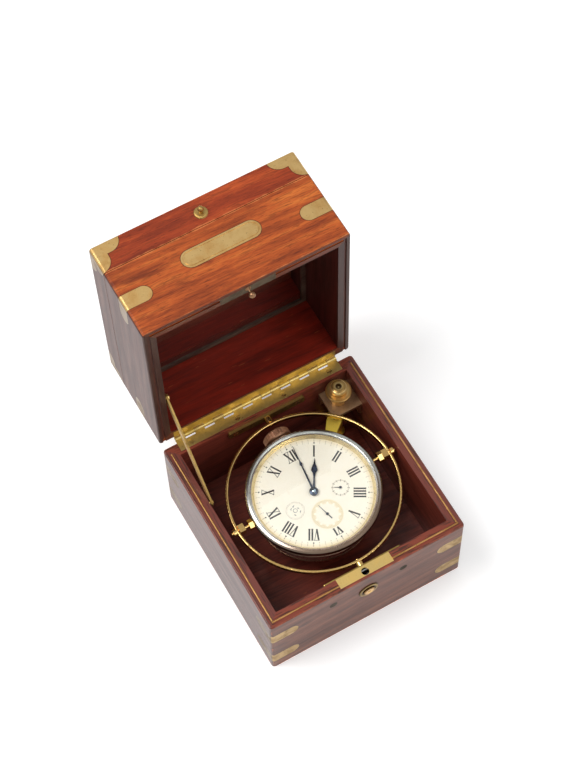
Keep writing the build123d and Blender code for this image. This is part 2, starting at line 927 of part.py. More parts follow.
def top_collar():
    """The turned collar round the top lid's button."""
    outline = [
        (top_stem_radius + pin_clearance, 0),
        (top_collar_radius, 0),
        (top_collar_radius - top_collar_slope, top_collar_edge),
        (top_collar_radius - top_collar_bevel, top_collar_thickness),
        (top_stem_radius + pin_clearance, top_collar_thickness),
    ]
    return front_plane(top_button_z) * turned(outline)


def lid_stay():
    """The flat brass stay at its open place, hinged to the lid at its upper end."""
    x0 = -inner_x + stay_stand_off
    angle = radians(stay_angle)
    middle_y = (stay_upper_y + stay_lower_y) / 2
    middle_z = (stay_upper_z + stay_lower_z) / 2
    slot = SlotCenterToCenter(stay_length, stay_width)
    plane = Plane(origin=(x0, middle_y, middle_z), x_dir=(0, cos(angle), sin(angle)),
                  z_dir=(1, 0, 0))
    bar = plane * extrude(slot, stay_thickness)
    bore = rod(x0 - cut_margin, stay_upper_y, stay_upper_z, "x",
               stay_pivot_radius + pin_clearance, stay_thickness + 2 * cut_margin)
    rivet = rod(x0 + stay_thickness, stay_lower_y, stay_lower_z, "x",
                stay_rivet_radius, stay_rivet_height)
    return bar - bore + rivet


def stay_pivot():
    """The shouldered screw in the lid's left wall that the stay turns on."""
    reach = stay_stand_off + stay_thickness + slide_clearance / 2
    head = rod(-inner_x + reach, stay_shut_y, stay_shut_z, "x",
               stay_pivot_head_radius, stay_stand_off)
    shank = rod(-inner_x - stay_pivot_root, stay_shut_y, stay_shut_z, "x",
                stay_pivot_radius, stay_pivot_root + reach)
    return head + shank


def stay_stud():
    """The stud in the base's left wall that the stay's lower end hooks over."""
    return rod(-inner_x - stay_stud_root, stay_lower_y, stay_lower_z, "x",
               stay_stud_radius, stay_stud_root + slide_clearance)


# Gimbal and watch, modelled about the Z axis at the gimbal's height

def gimbal_ring():
    """The flat ring, with holes for the two pivots and the two bushes."""
    outline = [
        (ring_inner_radius, gimbal_z - ring_height / 2),
        (ring_outer_radius, gimbal_z - ring_height / 2),
        (ring_outer_radius, gimbal_z + ring_height / 2),
        (ring_inner_radius, gimbal_z + ring_height / 2),
    ]
    ring = turned(outline)
    ring = fillet(ring.edges().filter_by(GeomType.CIRCLE), ring_round)
    reach = 2 * ring_outer_radius
    ring -= rod(0, -ring_outer_radius, gimbal_z, "y", ring_pivot_radius + pin_clearance, reach)
    return ring - rod(-ring_outer_radius, 0, gimbal_z, "x", bush_neck_radius, reach)


def trunnion_bush(side):
    """A square bush inside the ring, its neck through it, and the nut outside."""
    half = bush_size / 2
    start = ring_inner_radius - bush_length
    square = block(start, ring_outer_radius, -half, half, gimbal_z - half, gimbal_z + half)
    square &= rod(0, 0, gimbal_z - half, "z", ring_inner_radius, bush_size)
    neck_end = ring_outer_radius + ring_nut_length
    neck = rod(start, 0, gimbal_z, "x", bush_neck_radius, neck_end - start)
    bore = rod(0, 0, gimbal_z, "x", trunnion_radius + pin_clearance, 2 * ring_outer_radius)
    nut = rod(ring_outer_radius, 0, gimbal_z, "x", ring_nut_radius, ring_nut_length)
    nut -= rod(ring_outer_radius - cut_margin, 0, gimbal_z, "x", bush_neck_radius,
               ring_nut_length + 2 * cut_margin)
    turn = Rot(0, 0, 0 if side > 0 else 180)
    return [turn * (square + neck - bore), turn * nut]


def trunnion_pin(side, nut_place):
    """A pin from the case band to the ring, with its six-sided lock nut."""
    start = bezel_radius - trunnion_root
    pin = rod(start, 0, gimbal_z, "x", trunnion_radius, trunnion_reach - start)
    nut = extrude(RegularPolygon(lock_nut_size / 2, 6, major_radius=False), lock_nut_length)
    nut = Plane(origin=(nut_place, 0, gimbal_z), z_dir=(1, 0, 0)) * nut
    nut -= rod(nut_place - cut_margin, 0, gimbal_z, "x", trunnion_radius,
               lock_nut_length + 2 * cut_margin)
    turn = Rot(0, 0, 0 if side > 0 else 180)
    return [turn * pin, turn * nut]


def dome(radius, base, rise, thickness):
    """A shallow spherical shell of even height, standing on a circle."""
    sphere = (radius ** 2 + rise ** 2) / (2 * abs(rise))
    sign = 1 if rise > 0 else -1
    half = radius / 2
    sag = sphere - sqrt(sphere ** 2 - half ** 2)
    top = base + rise
    outline = [
        ThreePointArc((0, top), (half, top - sign * sag), (radius, base)),
        Line((radius, base), (radius, base - sign * thickness)),
        ThreePointArc((radius, base - sign * thickness),
                      (half, top - sign * (sag + thickness)), (0, top - sign * thickness)),
        Line((0, top - sign * thickness), (0, top)),
    ]
    return revolve(Plane.XZ * make_face(Wire(outline)), Axis.Z)


def watch_bezel():
    """The silvered bezel, with its sloped inner ring and the seat of the crystal."""
    seat_floor = bezel_top - bezel_seat_depth
    bezel = turned([
        (dial_opening, dial_top),
        (dial_opening + bezel_slope, seat_floor),
        (bezel_seat_radius, seat_floor),
        (bezel_seat_radius, bezel_top - bezel_lip),
        (bezel_seat_radius + bezel_lip, bezel_top),
        (bezel_radius - bezel_crest_inset, bezel_top - bezel_crest_drop),
        (bezel_radius - bezel_shoulder_inset, bezel_top - bezel_shoulder_drop),
        (bezel_radius, bezel_top - bezel_side_drop),
        (bezel_radius, bezel_base + bezel_foot_height),
        (bezel_radius - bezel_foot_inset, bezel_base),
        (dial_radius, bezel_base),
        (dial_radius, dial_top),
    ])
    for direction, side in (("x", 1), ("-x", -1)):
        bezel -= rod(side * (bezel_radius - trunnion_root), 0, gimbal_z, direction,
                     trunnion_radius, 2 * trunnion_root)
    return bezel


def case_band():
    """The case band: a lip under the bezel, a bead, a tapered foot and the stem's pendant."""
    bead = bezel_base - band_bead_drop
    band = turned([
        (foot_radius - band_wall, band_base),
        (foot_radius, band_base),
        (band_radius, bead - band_bead),
        (band_radius + band_bead, bead - band_bead / 2),
        (band_radius + band_bead, bead + band_bead / 2),
        (band_radius, bead + band_bead),
        (band_radius, bezel_base - band_lip_height - band_lip_slope),
        (band_radius + band_lip, bezel_base - band_lip_height),
        (band_radius + band_lip, bezel_base),
        (band_radius - band_wall, bezel_base),
        (band_radius - band_wall, bead),
    ])
    neck = rod(0, 0, crown_z, "y", pendant_radius, pendant_reach)
    neck &= block(-pendant_radius, pendant_radius, 0, pendant_reach,
                  crown_z - pendant_radius, bezel_base)
    neck -= rod(0, 0, band_base, "z", band_radius - band_wall + movement_clearance,
                bezel_base - band_base)
    band += neck
    return band - rod(0, 0, crown_z, "y", stem_radius + pin_clearance, crown_end)


def case_back():
    """The screwed back, a rim and a shallow dome."""
    rim = turned([
        (foot_radius - back_rim_width, band_base - back_thickness),
        (back_radius - back_bevel, band_base - back_thickness),
        (back_radius, band_base - back_edge),
        (back_radius, band_base),
        (foot_radius - back_rim_width, band_base),
    ])
    radius = foot_radius - back_dome_inset
    return rim + dome(radius, band_base - back_thickness, -back_rise, back_thickness)


def dial():
    """The dial disc, with the sunk seconds circle and holes for the arbors."""
    face = rod(0, 0, dial_base, "z", dial_radius, dial_thickness)
    face -= rod(0, -seconds_offset, dial_top - seconds_recess, "z", seconds_radius, cut_margin)
    return face - dial_holes(dial_base - cut_margin)


def dial_holes(start):
    """Upright holes for the hour tube, the seconds arbor and the indicator arbor."""
    height = dial_top + cut_margin - start
    holes = rod(0, 0, start, "z", hour_tube_radius + pin_clearance, height)
    holes += rod(0, -seconds_offset, start, "z", small_arbor_radius + pin_clearance, height)
    x, y = indicator_place
    return holes + rod(x, y, start, "z", small_arbor_radius + pin_clearance, height)


def movement_plates():
    """The pillar plate with its four pillars, and the back plate under them."""
    pillar_plate = rod(0, 0, plates_top, "z", plate_radius, pillar_plate_thickness)
    pillar_plate -= dial_holes(plates_top - cut_margin)
    back_plate = rod(0, 0, plates_bottom - back_plate_thickness, "z", plate_radius,
                     back_plate_thickness)
    for index in range(4):
        angle = radians(90 * index)
        pillar_plate += rod(pillar_circle * cos(angle), pillar_circle * sin(angle),
                            plates_bottom, "z", pillar_radius, movement_height)
    return [pillar_plate, back_plate]


def wheel(place, radius, level, thickness):
    """A wheel or drum on its arbor between the plates."""
    x, y = place
    body = rod(x, y, level, "z", radius, thickness)
    return body + rod(x, y, plates_bottom, "z", arbor_radius, movement_height)


def going_train():
    """The mainspring barrel and the centre, third, fourth and escape wheels."""
    wheels = [
        ((0, 0), centre_wheel_radius, centre_wheel_level),
        (third_wheel_place, third_wheel_radius, third_wheel_level),
        ((0, -seconds_offset), fourth_wheel_radius, fourth_wheel_level),
        (escape_wheel_place, escape_wheel_radius, escape_wheel_level),
    ]
    train = [wheel(place, radius, plates_bottom + level, wheel_thickness)
             for place, radius, level in wheels]
    return train + [wheel(barrel_place, barrel_radius, plates_bottom + barrel_level,
                          barrel_thickness)]


def balance_wheel():
    """The balance: rim, two arms and staff."""
    x, y = balance_place
    level = plates_bottom + balance_level
    rim = rod(x, y, level, "z", balance_radius, balance_thickness)
    rim -= rod(x, y, level - cut_margin, "z", balance_radius - balance_rim,
               balance_thickness + 2 * cut_margin)
    reach = balance_radius - balance_rim / 2
    arm = block(x - reach, x + reach, y - balance_rim / 2, y + balance_rim / 2,
                level, level + balance_thickness)
    staff = rod(x, y, plates_bottom + slide_clearance, "z", arbor_radius,
                movement_height - 2 * slide_clearance)
    return rim + arm + staff


def hand_outline(length, bulb, bulb_width, root_width):
    """The mirrored outline of a spade hand along +Y."""
    spade = bulb_width / 2
    right = [
        (root_width / 2, 0),
        (root_width * 0.35, bulb - 2.4 * spade),
        (spade * 0.45, bulb - 1.2 * spade),
        (spade, bulb - 0.2 * spade),
        (spade * 0.75, bulb + 0.9 * spade),
        (spade * 0.3, bulb + 2.0 * spade),
        (hand_tip_width / 2, length),
    ]
    left = [(-x, y) for x, y in reversed(right)]
    return make_face(Polyline(*(right + left), close=True))


def hour_hand():
    """The spade hour hand on its tube."""
    face = hand_outline(hour_hand_length, hour_hand_bulb, hour_bulb_width, hour_root_width)
    hand = extrude(face, hand_thickness) + rod(0, 0, 0, "z", hand_boss_radius, hand_thickness)
    hand = Pos(0, 0, hour_hand_z) * hand
    low = plates_top + slide_clearance
    hand += rod(0, 0, low, "z", hour_tube_radius, hour_hand_z - low)
    hand -= rod(0, 0, low - cut_margin, "z", cannon_radius + pin_clearance, 3 * bezel_top)
    return Rot(0, 0, -hour_angle) * hand


def minute_hand():
    """The slim minute hand on the cannon arbor, with its round boss."""
    face = hand_outline(minute_hand_length, minute_hand_bulb, minute_bulb_width,
                        minute_root_width)
    hand = Pos(0, 0, minute_hand_z) * extrude(face, hand_thickness)
    low = plates_top + slide_clearance
    hand += rod(0, 0, low, "z", cannon_radius, minute_hand_z - low)
    boss = turned([
        (0, minute_hand_z),
        (hand_boss_radius, minute_hand_z),
        (hand_boss_radius, minute_hand_z + hand_boss_edge),
        (hand_boss_radius - hand_boss_bevel, minute_hand_z + hand_boss_height),
        (0, minute_hand_z + hand_boss_height),
    ])
    return Rot(0, 0, -minute_angle) * (hand + boss)


def small_hand(place, level, length, tail, hub, angle, low):
    """A thin hand on its own arbor, with a tail and a round hub."""
    right = [
        (small_tail_half_width, -tail),
        (small_root_half_width, 0),
        (small_tip_half_width, length),
    ]
    left = [(-x, y) for x, y in reversed(right)]
    hand = extrude(make_face(Polyline(*(right + left), close=True)), small_hand_thickness)
    hand += rod(0, 0, 0, "z", hub, small_hand_thickness)
    hand = Pos(0, 0, level) * hand
    hand += rod(0, 0, low, "z", small_arbor_radius, level - low)
    return Pos(*place, 0) * (Rot(0, 0, -angle) * hand)


def winding_stem():
    """The stem that slides in the pendant and carries the crown."""
    return rod(0, stem_inner_end, crown_z, "y", stem_radius,
               stem_outer_end - stem_inner_end)


def crown():
    """The ribbed crown, bored for the stem."""
    outline = [
        (0, crown_start),
        (crown_radius - crown_inner_bevel, crown_start),
        (crown_radius, crown_start + crown_inner_slope),
        (crown_radius, crown_end - crown_outer_slope),
        (crown_radius - crown_outer_bevel, crown_end),
        (0, crown_end),
    ]
    knob = turned(outline)
    low = crown_start - cut_margin
    groove_centre = crown_radius + crown_groove_radius - crown_groove_depth
    groove = rod(groove_centre, 0, low, "z", crown_groove_radius, crown_length + 2 * cut_margin)
    for index in range(crown_ribs):
        knob -= Rot(0, 0, 360 * index / crown_ribs) * groove
    knob -= rod(0, 0, low, "z", stem_radius + pin_clearance, stem_outer_end + pin_clearance - low)
    return Plane(origin=(0, 0, crown_z), z_dir=(0, 1, 0)) * knob


# Screw places, each a point on the metal's face and the way the screw is driven

def leaf_screws(count, spacing, leaf_width, height, direction):
    """Screws along one leaf of a hinge."""
    y = half_depth - leaf_width / 2
    return screws([(x, y, height, direction) for x in spread(count, spacing)])


def pivot_plate_screws():
    """Two screws in each pivot plate."""
    places = []
    for x in spread(2, pivot_plate_screw_spacing):
        places.append((gimbal_x + x, -inner_y + pivot_plate_thickness, gimbal_z, "-y"))
        places.append((gimbal_x + x, inner_y - pivot_plate_thickness, gimbal_z, "y"))
    return screws(places)


def corner_plate_screws():
    """Two screws in each flange of the corner plate."""
    height = corner_plate_top - corner_screw_drop
    places = []
    for inset in corner_screw_insets:
        places.append((inner_x - inset, inner_y - corner_plate_thickness, height, "y"))
        places.append((inner_x - corner_plate_thickness, inner_y - inset, height, "x"))
    return screws(places)


def rim_grooves():
    """Cuts in the lid's rim that the bead enters, left, right and either side of the catch."""
    x = half_width - bead_inset
    y = -half_depth + bead_inset
    half = groove_width / 2
    top = lid_rim + groove_depth
    cuts = []
    for side in (-1, 1):
        cuts.append(block(side * x - half, side * x + half, y - half, half_depth + cut_margin,
                          lid_rim - cut_margin, top))
        near, far = sorted((side * catch_plate_end, side * (x + half)))
        cuts.append(block(near, far, y - half, y + half, lid_rim - cut_margin, top))
    return cuts


def save_base(main_hinge):
    """Writes the base, its lock and everything fixed in it."""
    lower_leaf, _, pin, rebate, _ = main_hinge
    body = tier(0, base_height, -1)
    straps = [corner_strap(body, *corner, height)
              for corner in all_corners for height in base_strap_levels]
    beads = bead_strips()
    case, mortise = lock_case()
    plugs = [rod(x, -half_depth, plug_z, "y", plug_radius, plug_depth)
             for x in spread(2, plug_spacing)]
    plate_seat = block(-lock_plate_length / 2, lock_plate_length / 2,
                       -inner_y - lock_plate_width, -inner_y,
                       base_height - lock_plate_thickness, base_height)
    button_hole = rod(0, -half_depth, button_z, "y", button_radius, lock_case_front_inset)
    hinge_screws = leaf_screws(4, hinge_screw_spacing, hinge_leaf_width, base_height, "-z")
    pivot_screws = pivot_plate_screws()
    shelf_screws = corner_plate_screws()
    ring_of_escutcheon = escutcheon()
    stud = stay_stud()
    all_screws = hinge_screws + pivot_screws + shelf_screws
    cuts = straps + beads + plugs + all_screws
    cuts += [rebate, plate_seat, mortise, button_hole, ring_of_escutcheon, stud]
    front, back, left, right = mitred_boards(without(body, cuts), 0, base_height)
    save("base_front_wall", front)
    save("base_back_wall", back)
    save("base_side_walls", [left, right])
    save("base_bottom", block(-inner_x, inner_x, -inner_y, inner_y, 0, bottom_thickness))
    save("rim_beads", beads)
    save("base_corner_straps", straps)
    save("lock_plate", lock_plate())
    save("lock_case", case)
    save("lock_end_plugs", plugs)
    save("button_escutcheon", ring_of_escutcheon)
    save("push_button", push_button())
    save("latch", latch_plate())
    save("main_hinge_base_leaf", without(lower_leaf, hinge_screws))
    save("main_hinge_pin", pin)
    pivots = [ring_pivot(side) for side in (-1, 1)]
    plates = [without(pivot_plate(side), pivots + pivot_screws) for side in (-1, 1)]
    save("pivot_plates", plates)
    save("ring_pivots", pivots)
    save("corner_plate", without(corner_plate(), shelf_screws))
    save("base_screws", all_screws + [stud])
    save("lock_post", lock_post())
    save("lock_arm", lock_arm())
    save("lock_knob", lock_knob())


def save_middle(main_hinge, top_hinge):
    """Writes the lid's middle tier with its glass and metalwork."""
    _, upper_leaf, _, _, rebate = main_hinge
    lower_top_leaf, _, top_pin, top_rebate, _ = top_hinge
    body = tier(lid_rim, middle_top, 0)
    strap_level = lid_rim + middle_strap_height
    straps = [corner_strap(body, *corner, strap_level) for corner in all_corners]
    plate_seat = front_plate_blank()
    pin = catch_pin()
    hinge_screws = leaf_screws(4, hinge_screw_spacing, hinge_leaf_width, lid_rim, "z")
    top_screws = leaf_screws(4, top_hinge_screw_spacing, top_hinge_leaf_width, middle_top, "-z")
    stay_screw = stay_pivot()
    cuts = straps + rim_grooves() + hinge_screws + top_screws
    cuts += [plate_seat, pin, catch_plate(), rebate, top_rebate, stay_screw]
    front, back, left, right = mitred_boards(without(body, cuts), lid_rim, middle_top)
    save_lid("middle_end_walls", [front, back])
    save_lid("middle_side_walls", [left, right])
    save_lid("middle_corner_straps", straps)
    save_lid("oval_plate", front_plate())
    save_lid("catch_pin", pin)
    save_lid("catch_plate", catch_plate() - pin)
    save_lid("glass_beads", glass_beads())
    save_lid("glass_pane", glass_pane())
    save_lid("main_hinge_lid_leaf", without(upper_leaf, hinge_screws))
    save_lid("top_hinge_lower_leaf", without(lower_top_leaf, top_screws))
    save_lid("top_hinge_pin", top_pin)
    save_lid("top_catch_strike", top_strike())
    save_lid("lid_screws", hinge_screws + top_screws + [stay_screw])
    save("lid_stay", lid_stay())


def save_top(top_hinge):
    """Writes the top tier, its panel, corner brasses and button."""
    _, upper_leaf, _, _, rebate = top_hinge
    body = tier(top_rim, box_top, -1)
    brasses = [corner_brass(body, *corner) for corner in all_corners]
    hinge_screws = leaf_screws(4, top_hinge_screw_spacing, top_hinge_leaf_width, top_rim, "z")
    stem_hole = rod(0, -half_depth, top_button_z, "y", top_stem_radius + pin_clearance, wall)
    cuts = brasses + hinge_screws + [rebate, stem_hole]
    front, back, left, right = mitred_boards(without(body, cuts), top_rim, box_top)
    save_lid("top_end_walls", [front, back])
    save_lid("top_side_walls", [left, right])
    save_lid("top_panel", block(-inner_x, inner_x, -inner_y, inner_y,
                                box_top - top_panel_thickness, box_top))
    save_lid("top_corner_brasses", brasses)
    save_lid("top_button", top_button())
    save_lid("top_button_collar", top_collar())
    save_lid("top_hinge_upper_leaf", without(upper_leaf, hinge_screws))
    save_lid("top_screws", hinge_screws)


def save_gimbal():
    """Writes the ring with its bushes and nuts, and the watch's trunnions."""
    bushes = trunnion_bush(-1) + trunnion_bush(1)
    pins = trunnion_pin(-1, left_nut_place) + trunnion_pin(1, right_nut_place)
    save("gimbal_ring", at_watch(gimbal_ring()))
    save("trunnion_bushes", [at_watch(piece) for piece in bushes])
    save("watch_trunnions", [at_watch(piece) for piece in pins])


def save_watch():
    """Writes the watch case, dial, movement, crown and hands."""
    crystal_base = bezel_top - bezel_seat_depth + crystal_thickness
    crystal = dome(bezel_seat_radius, crystal_base, crystal_rise, crystal_thickness)
    arbor_low = plates_top + slide_clearance
    save("watch_bezel", at_watch(watch_bezel()))
    save("watch_crystal", at_watch(crystal))
    save("watch_band", at_watch(case_band()))
    save("watch_back", at_watch(case_back()))
    save("watch_dial", at_watch(dial()))
    save("movement_plates", [at_watch(plate) for plate in movement_plates()])
    save("going_train", [at_watch(piece) for piece in going_train()])
    save("balance", at_watch(balance_wheel()))
    save("winding_stem", at_watch(winding_stem()))
    save("crown", at_watch(crown()))
    save("hour_hand", at_watch(hour_hand()))
    save("minute_hand", at_watch(minute_hand()))
    save("seconds_hand", at_watch(small_hand(
        (0, -seconds_offset), dial_top + seconds_hand_rise, seconds_hand_length,
        seconds_tail_length, seconds_hub_radius, seconds_angle, arbor_low)))
    save("indicator_hand", at_watch(small_hand(
        indicator_place, dial_top + indicator_hand_rise, indicator_hand_length, 0,
        indicator_hub_radius, indicator_hand_angle, arbor_low)))


main_hinge = hinge(hinge_out, base_height, rim_gap, hinge_length, hinge_knuckles,
                   hinge_knuckle_radius, hinge_pin_radius, hinge_leaf_width, hinge_leaf_thickness)
top_hinge = hinge(top_hinge_out, middle_top, tier_gap, top_hinge_length, top_hinge_knuckles,
                  top_hinge_knuckle_radius, top_hinge_pin_radius,
                  top_hinge_leaf_width, top_hinge_leaf_thickness)
save_base(main_hinge)
save_middle(main_hinge, top_hinge)
save_top(top_hinge)
save_gimbal()
save_watch()
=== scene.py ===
import math
import bpy
import numpy as np
from mathutils import Matrix, Vector


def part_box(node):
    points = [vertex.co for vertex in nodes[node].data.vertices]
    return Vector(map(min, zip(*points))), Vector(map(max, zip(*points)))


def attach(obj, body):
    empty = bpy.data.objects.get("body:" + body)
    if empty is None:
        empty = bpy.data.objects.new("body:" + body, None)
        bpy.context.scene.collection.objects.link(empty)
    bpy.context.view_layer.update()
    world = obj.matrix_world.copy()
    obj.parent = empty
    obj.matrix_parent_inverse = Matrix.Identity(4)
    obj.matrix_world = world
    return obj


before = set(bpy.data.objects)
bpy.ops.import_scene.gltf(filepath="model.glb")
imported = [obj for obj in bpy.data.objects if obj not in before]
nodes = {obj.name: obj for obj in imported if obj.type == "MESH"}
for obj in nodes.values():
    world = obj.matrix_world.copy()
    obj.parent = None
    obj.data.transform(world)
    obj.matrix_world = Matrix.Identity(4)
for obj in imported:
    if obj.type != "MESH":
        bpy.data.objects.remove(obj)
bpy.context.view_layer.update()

print("frame loaded:", len(nodes), "pieces")


def tint(red, green, blue):
    # a screen colour, 0 to 255, as the linear colour that a shader socket takes
    screen = np.array([red, green, blue]) / 255
    linear = np.where(screen <= 0.04045, screen / 12.92, ((screen + 0.055) / 1.055) ** 2.4)
    return (*linear.tolist(), 1.0)


# Node helpers

def addNode(tree, kind, **settings):
    node = tree.nodes.new(kind)
    for key, value in settings.items():
        setattr(node, key, value)
    return node


def plug(tree, target, socket, source):
    # source is another socket, or a plain value for the socket itself
    if isinstance(source, bpy.types.NodeSocket):
        tree.links.new(source, target.inputs[socket])
    else:
        target.inputs[socket].default_value = source


def maths(tree, operation, first, second=0.0, clamp=False):
    node = addNode(tree, "ShaderNodeMath", operation=operation, use_clamp=clamp)
    plug(tree, node, 0, first)
    plug(tree, node, 1, second)
    return node.outputs[0]


def layer(tree, under, over, mask, share=1.0):
    # one colour laid over another where the mask is 1, at a share of its strength
    node = addNode(tree, "ShaderNodeMix", data_type="RGBA")
    plug(tree, node, 0, mask if share == 1.0 else maths(tree, "MULTIPLY", mask, share))
    plug(tree, node, 6, under)
    plug(tree, node, 7, over)
    return node.outputs[2]


def ramp(tree, value, low, high, outLow=0.0, outHigh=1.0):
    node = addNode(tree, "ShaderNodeMapRange", interpolation_type="SMOOTHSTEP")
    for index, item in enumerate((value, low, high, outLow, outHigh)):
        plug(tree, node, index, item)
    return node.outputs[0]


def colourRamp(tree, value, stops):
    node = addNode(tree, "ShaderNodeValToRGB")
    band = node.color_ramp
    while len(band.elements) < len(stops):
        band.elements.new(0.5)
    for element, (place, colour) in zip(band.elements, stops):
        element.position = place
        element.color = colour
    plug(tree, node, 0, value)
    return node.outputs[0]


def noise(tree, vector, scale, detail=2.0, roughness=0.5, distortion=0.0):
    node = addNode(tree, "ShaderNodeTexNoise")
    plug(tree, node, "Vector", vector)
    plug(tree, node, "Scale", scale)
    plug(tree, node, "Detail", detail)
    plug(tree, node, "Roughness", roughness)
    plug(tree, node, "Distortion", distortion)
    return node.outputs["Fac"]


def vectorMaths(tree, operation, first, second=None):
    node = addNode(tree, "ShaderNodeVectorMath", operation=operation)
    plug(tree, node, 0, first)
    if second is not None:
        plug(tree, node, 1, second)
    return node.outputs["Value" if operation in ("DOT_PRODUCT", "DISTANCE") else "Vector"]


def split(tree, vector):
    node = addNode(tree, "ShaderNodeSeparateXYZ")
    plug(tree, node, 0, vector)
    return node.outputs


def distanceFrom(tree, where, centre, axis):
    # distance from the line through centre along one axis: the root of the other two squares
    away = split(tree, vectorMaths(tree, "SUBTRACT", where, tuple(centre)))
    squares = [maths(tree, "MULTIPLY", away[i], away[i]) for i in range(3) if i != axis]
    return maths(tree, "SQRT", maths(tree, "ADD", *squares))


def newGroup(name, inputs, outputs):
    # inputs and outputs: (socket name, socket type, default)
    group = bpy.data.node_groups.new(name, "ShaderNodeTree")
    for label, kind, value in inputs:
        socket = group.interface.new_socket(label, in_out="INPUT", socket_type=kind)
        if value is not None:
            socket.default_value = value
    for label, kind in outputs:
        group.interface.new_socket(label, in_out="OUTPUT", socket_type=kind)
    return group, addNode(group, "NodeGroupInput"), addNode(group, "NodeGroupOutput")


def useGroup(tree, group, **values):
    node = addNode(tree, "ShaderNodeGroup", node_tree=group)
    for label, value in values.items():
        plug(tree, node, label, value)
    return node


# Effects that more than one material uses

figureScale = {
    "broad": (14, 210, 210), "lines": (70, 1250, 1250), "fleck": (170, 2300, 2300),
    "patch": (26, 130, 130),
}
broadShare, lineShare = 0.56, 0.44


def makeMahogany():
    # grain along the vector's X: long dark patches, fine streaks and short pores
    group, given, out = newGroup(
        "mahoganyFigure",
        [("Vector", "NodeSocketVector", None), ("Drift", "NodeSocketFloat", 0.0)],
        [("Tone", "NodeSocketFloat"), ("Streak", "NodeSocketFloat"), ("Patch", "NodeSocketFloat"),
         ("Pores", "NodeSocketFloat"), ("Height", "NodeSocketFloat")])
    shift = addNode(group, "ShaderNodeCombineXYZ")
    plug(group, shift, 0, given.outputs["Drift"])
    plug(group, shift, 2, given.outputs["Drift"])
    place = vectorMaths(group, "ADD", given.outputs["Vector"], shift.outputs[0])

    def grainNoise(key, detail, roughness, distortion=0.0):
        stretched = vectorMaths(group, "MULTIPLY", place, figureScale[key])
        return noise(group, stretched, 1.0, detail, roughness, distortion)

    broad = grainNoise("broad", 3.0, 0.55, 0.1)
    lines = grainNoise("lines", 3.0, 0.55)
    fleck = grainNoise("fleck", 2.0, 0.6)
    patch = grainNoise("patch", 4.0, 0.55, 0.25)
    plug(group, out, "Tone", maths(group, "ADD", maths(group, "MULTIPLY", broad, broadShare),
                                   maths(group, "MULTIPLY", lines, lineShare)))
    plug(group, out, "Streak", ramp(group, lines, 0.50, 0.62))
    plug(group, out, "Patch", ramp(group, patch, 0.55, 0.74))
    plug(group, out, "Pores", ramp(group, fleck, 0.58, 0.70))
    plug(group, out, "Height", maths(group, "SUBTRACT", maths(group, "MULTIPLY", lines, 0.5), fleck))
    return group


arrisLook = {"noise": 160.0, "breakup": 3.6}


def makeArris():
    # 1 along the arrises of a block: the middle one of the three distances to its faces is small;
    # noise moves the edge of the wear by up to half of breakup times its width
    group, given, out = newGroup(
        "arrisWear",
        [("Vector", "NodeSocketVector", None), ("Centre", "NodeSocketVector", (0, 0, 0)),
         ("Half", "NodeSocketVector", (1, 1, 1)), ("Width", "NodeSocketFloat", 0.001)],
        [("Wear", "NodeSocketFloat")])
    away = vectorMaths(group, "SUBTRACT", given.outputs["Vector"], given.outputs["Centre"])
    flat = vectorMaths(group, "ABSOLUTE", away)
    x, y, z = split(group, vectorMaths(group, "SUBTRACT", given.outputs["Half"], flat))
    lower = maths(group, "MINIMUM", x, y)
    upper = maths(group, "MAXIMUM", x, y)
    middle = maths(group, "MAXIMUM", lower, maths(group, "MINIMUM", upper, z))
    patchy = noise(group, given.outputs["Vector"], arrisLook["noise"], 4.0, 0.65)
    spread = maths(group, "MULTIPLY", maths(group, "SUBTRACT", patchy, 0.5),
                   maths(group, "MULTIPLY", given.outputs["Width"], arrisLook["breakup"]))
    plug(group, out, "Wear", ramp(group, maths(group, "ADD", middle, spread),
                                  given.outputs["Width"], 0.0))
    return group


tarnishLook = {"slow": 120.0, "fine": 900.0, "scratch": (500, 2600, 1400), "scratchShare": 0.6}


def makeTarnish():
    # slow patches, small spots and fine scratches of old lacquered metal
    group, given, out = newGroup(
        "tarnish",
        [("Vector", "NodeSocketVector", None), ("Amount", "NodeSocketFloat", 0.5)],
        [("Patch", "NodeSocketFloat"), ("Spot", "NodeSocketFloat"), ("Height", "NodeSocketFloat")])
    slow = noise(group, given.outputs["Vector"], tarnishLook["slow"], 4.0, 0.6, 0.4)
    fine = noise(group, given.outputs["Vector"], tarnishLook["fine"], 3.0, 0.6)
    stretched = vectorMaths(group, "MULTIPLY", given.outputs["Vector"], tarnishLook["scratch"])
    scratch = noise(group, stretched, 1.0, 2.0)
    plug(group, out, "Patch", maths(group, "MULTIPLY", ramp(group, slow, 0.35, 0.70),
                                    given.outputs["Amount"]))
    plug(group, out, "Spot", maths(group, "MULTIPLY", ramp(group, fine, 0.62, 0.74),
                                   given.outputs["Amount"]))
    plug(group, out, "Height", maths(group, "ADD", fine, maths(group, "MULTIPLY", scratch,
                                                               tarnishLook["scratchShare"])))
    return group


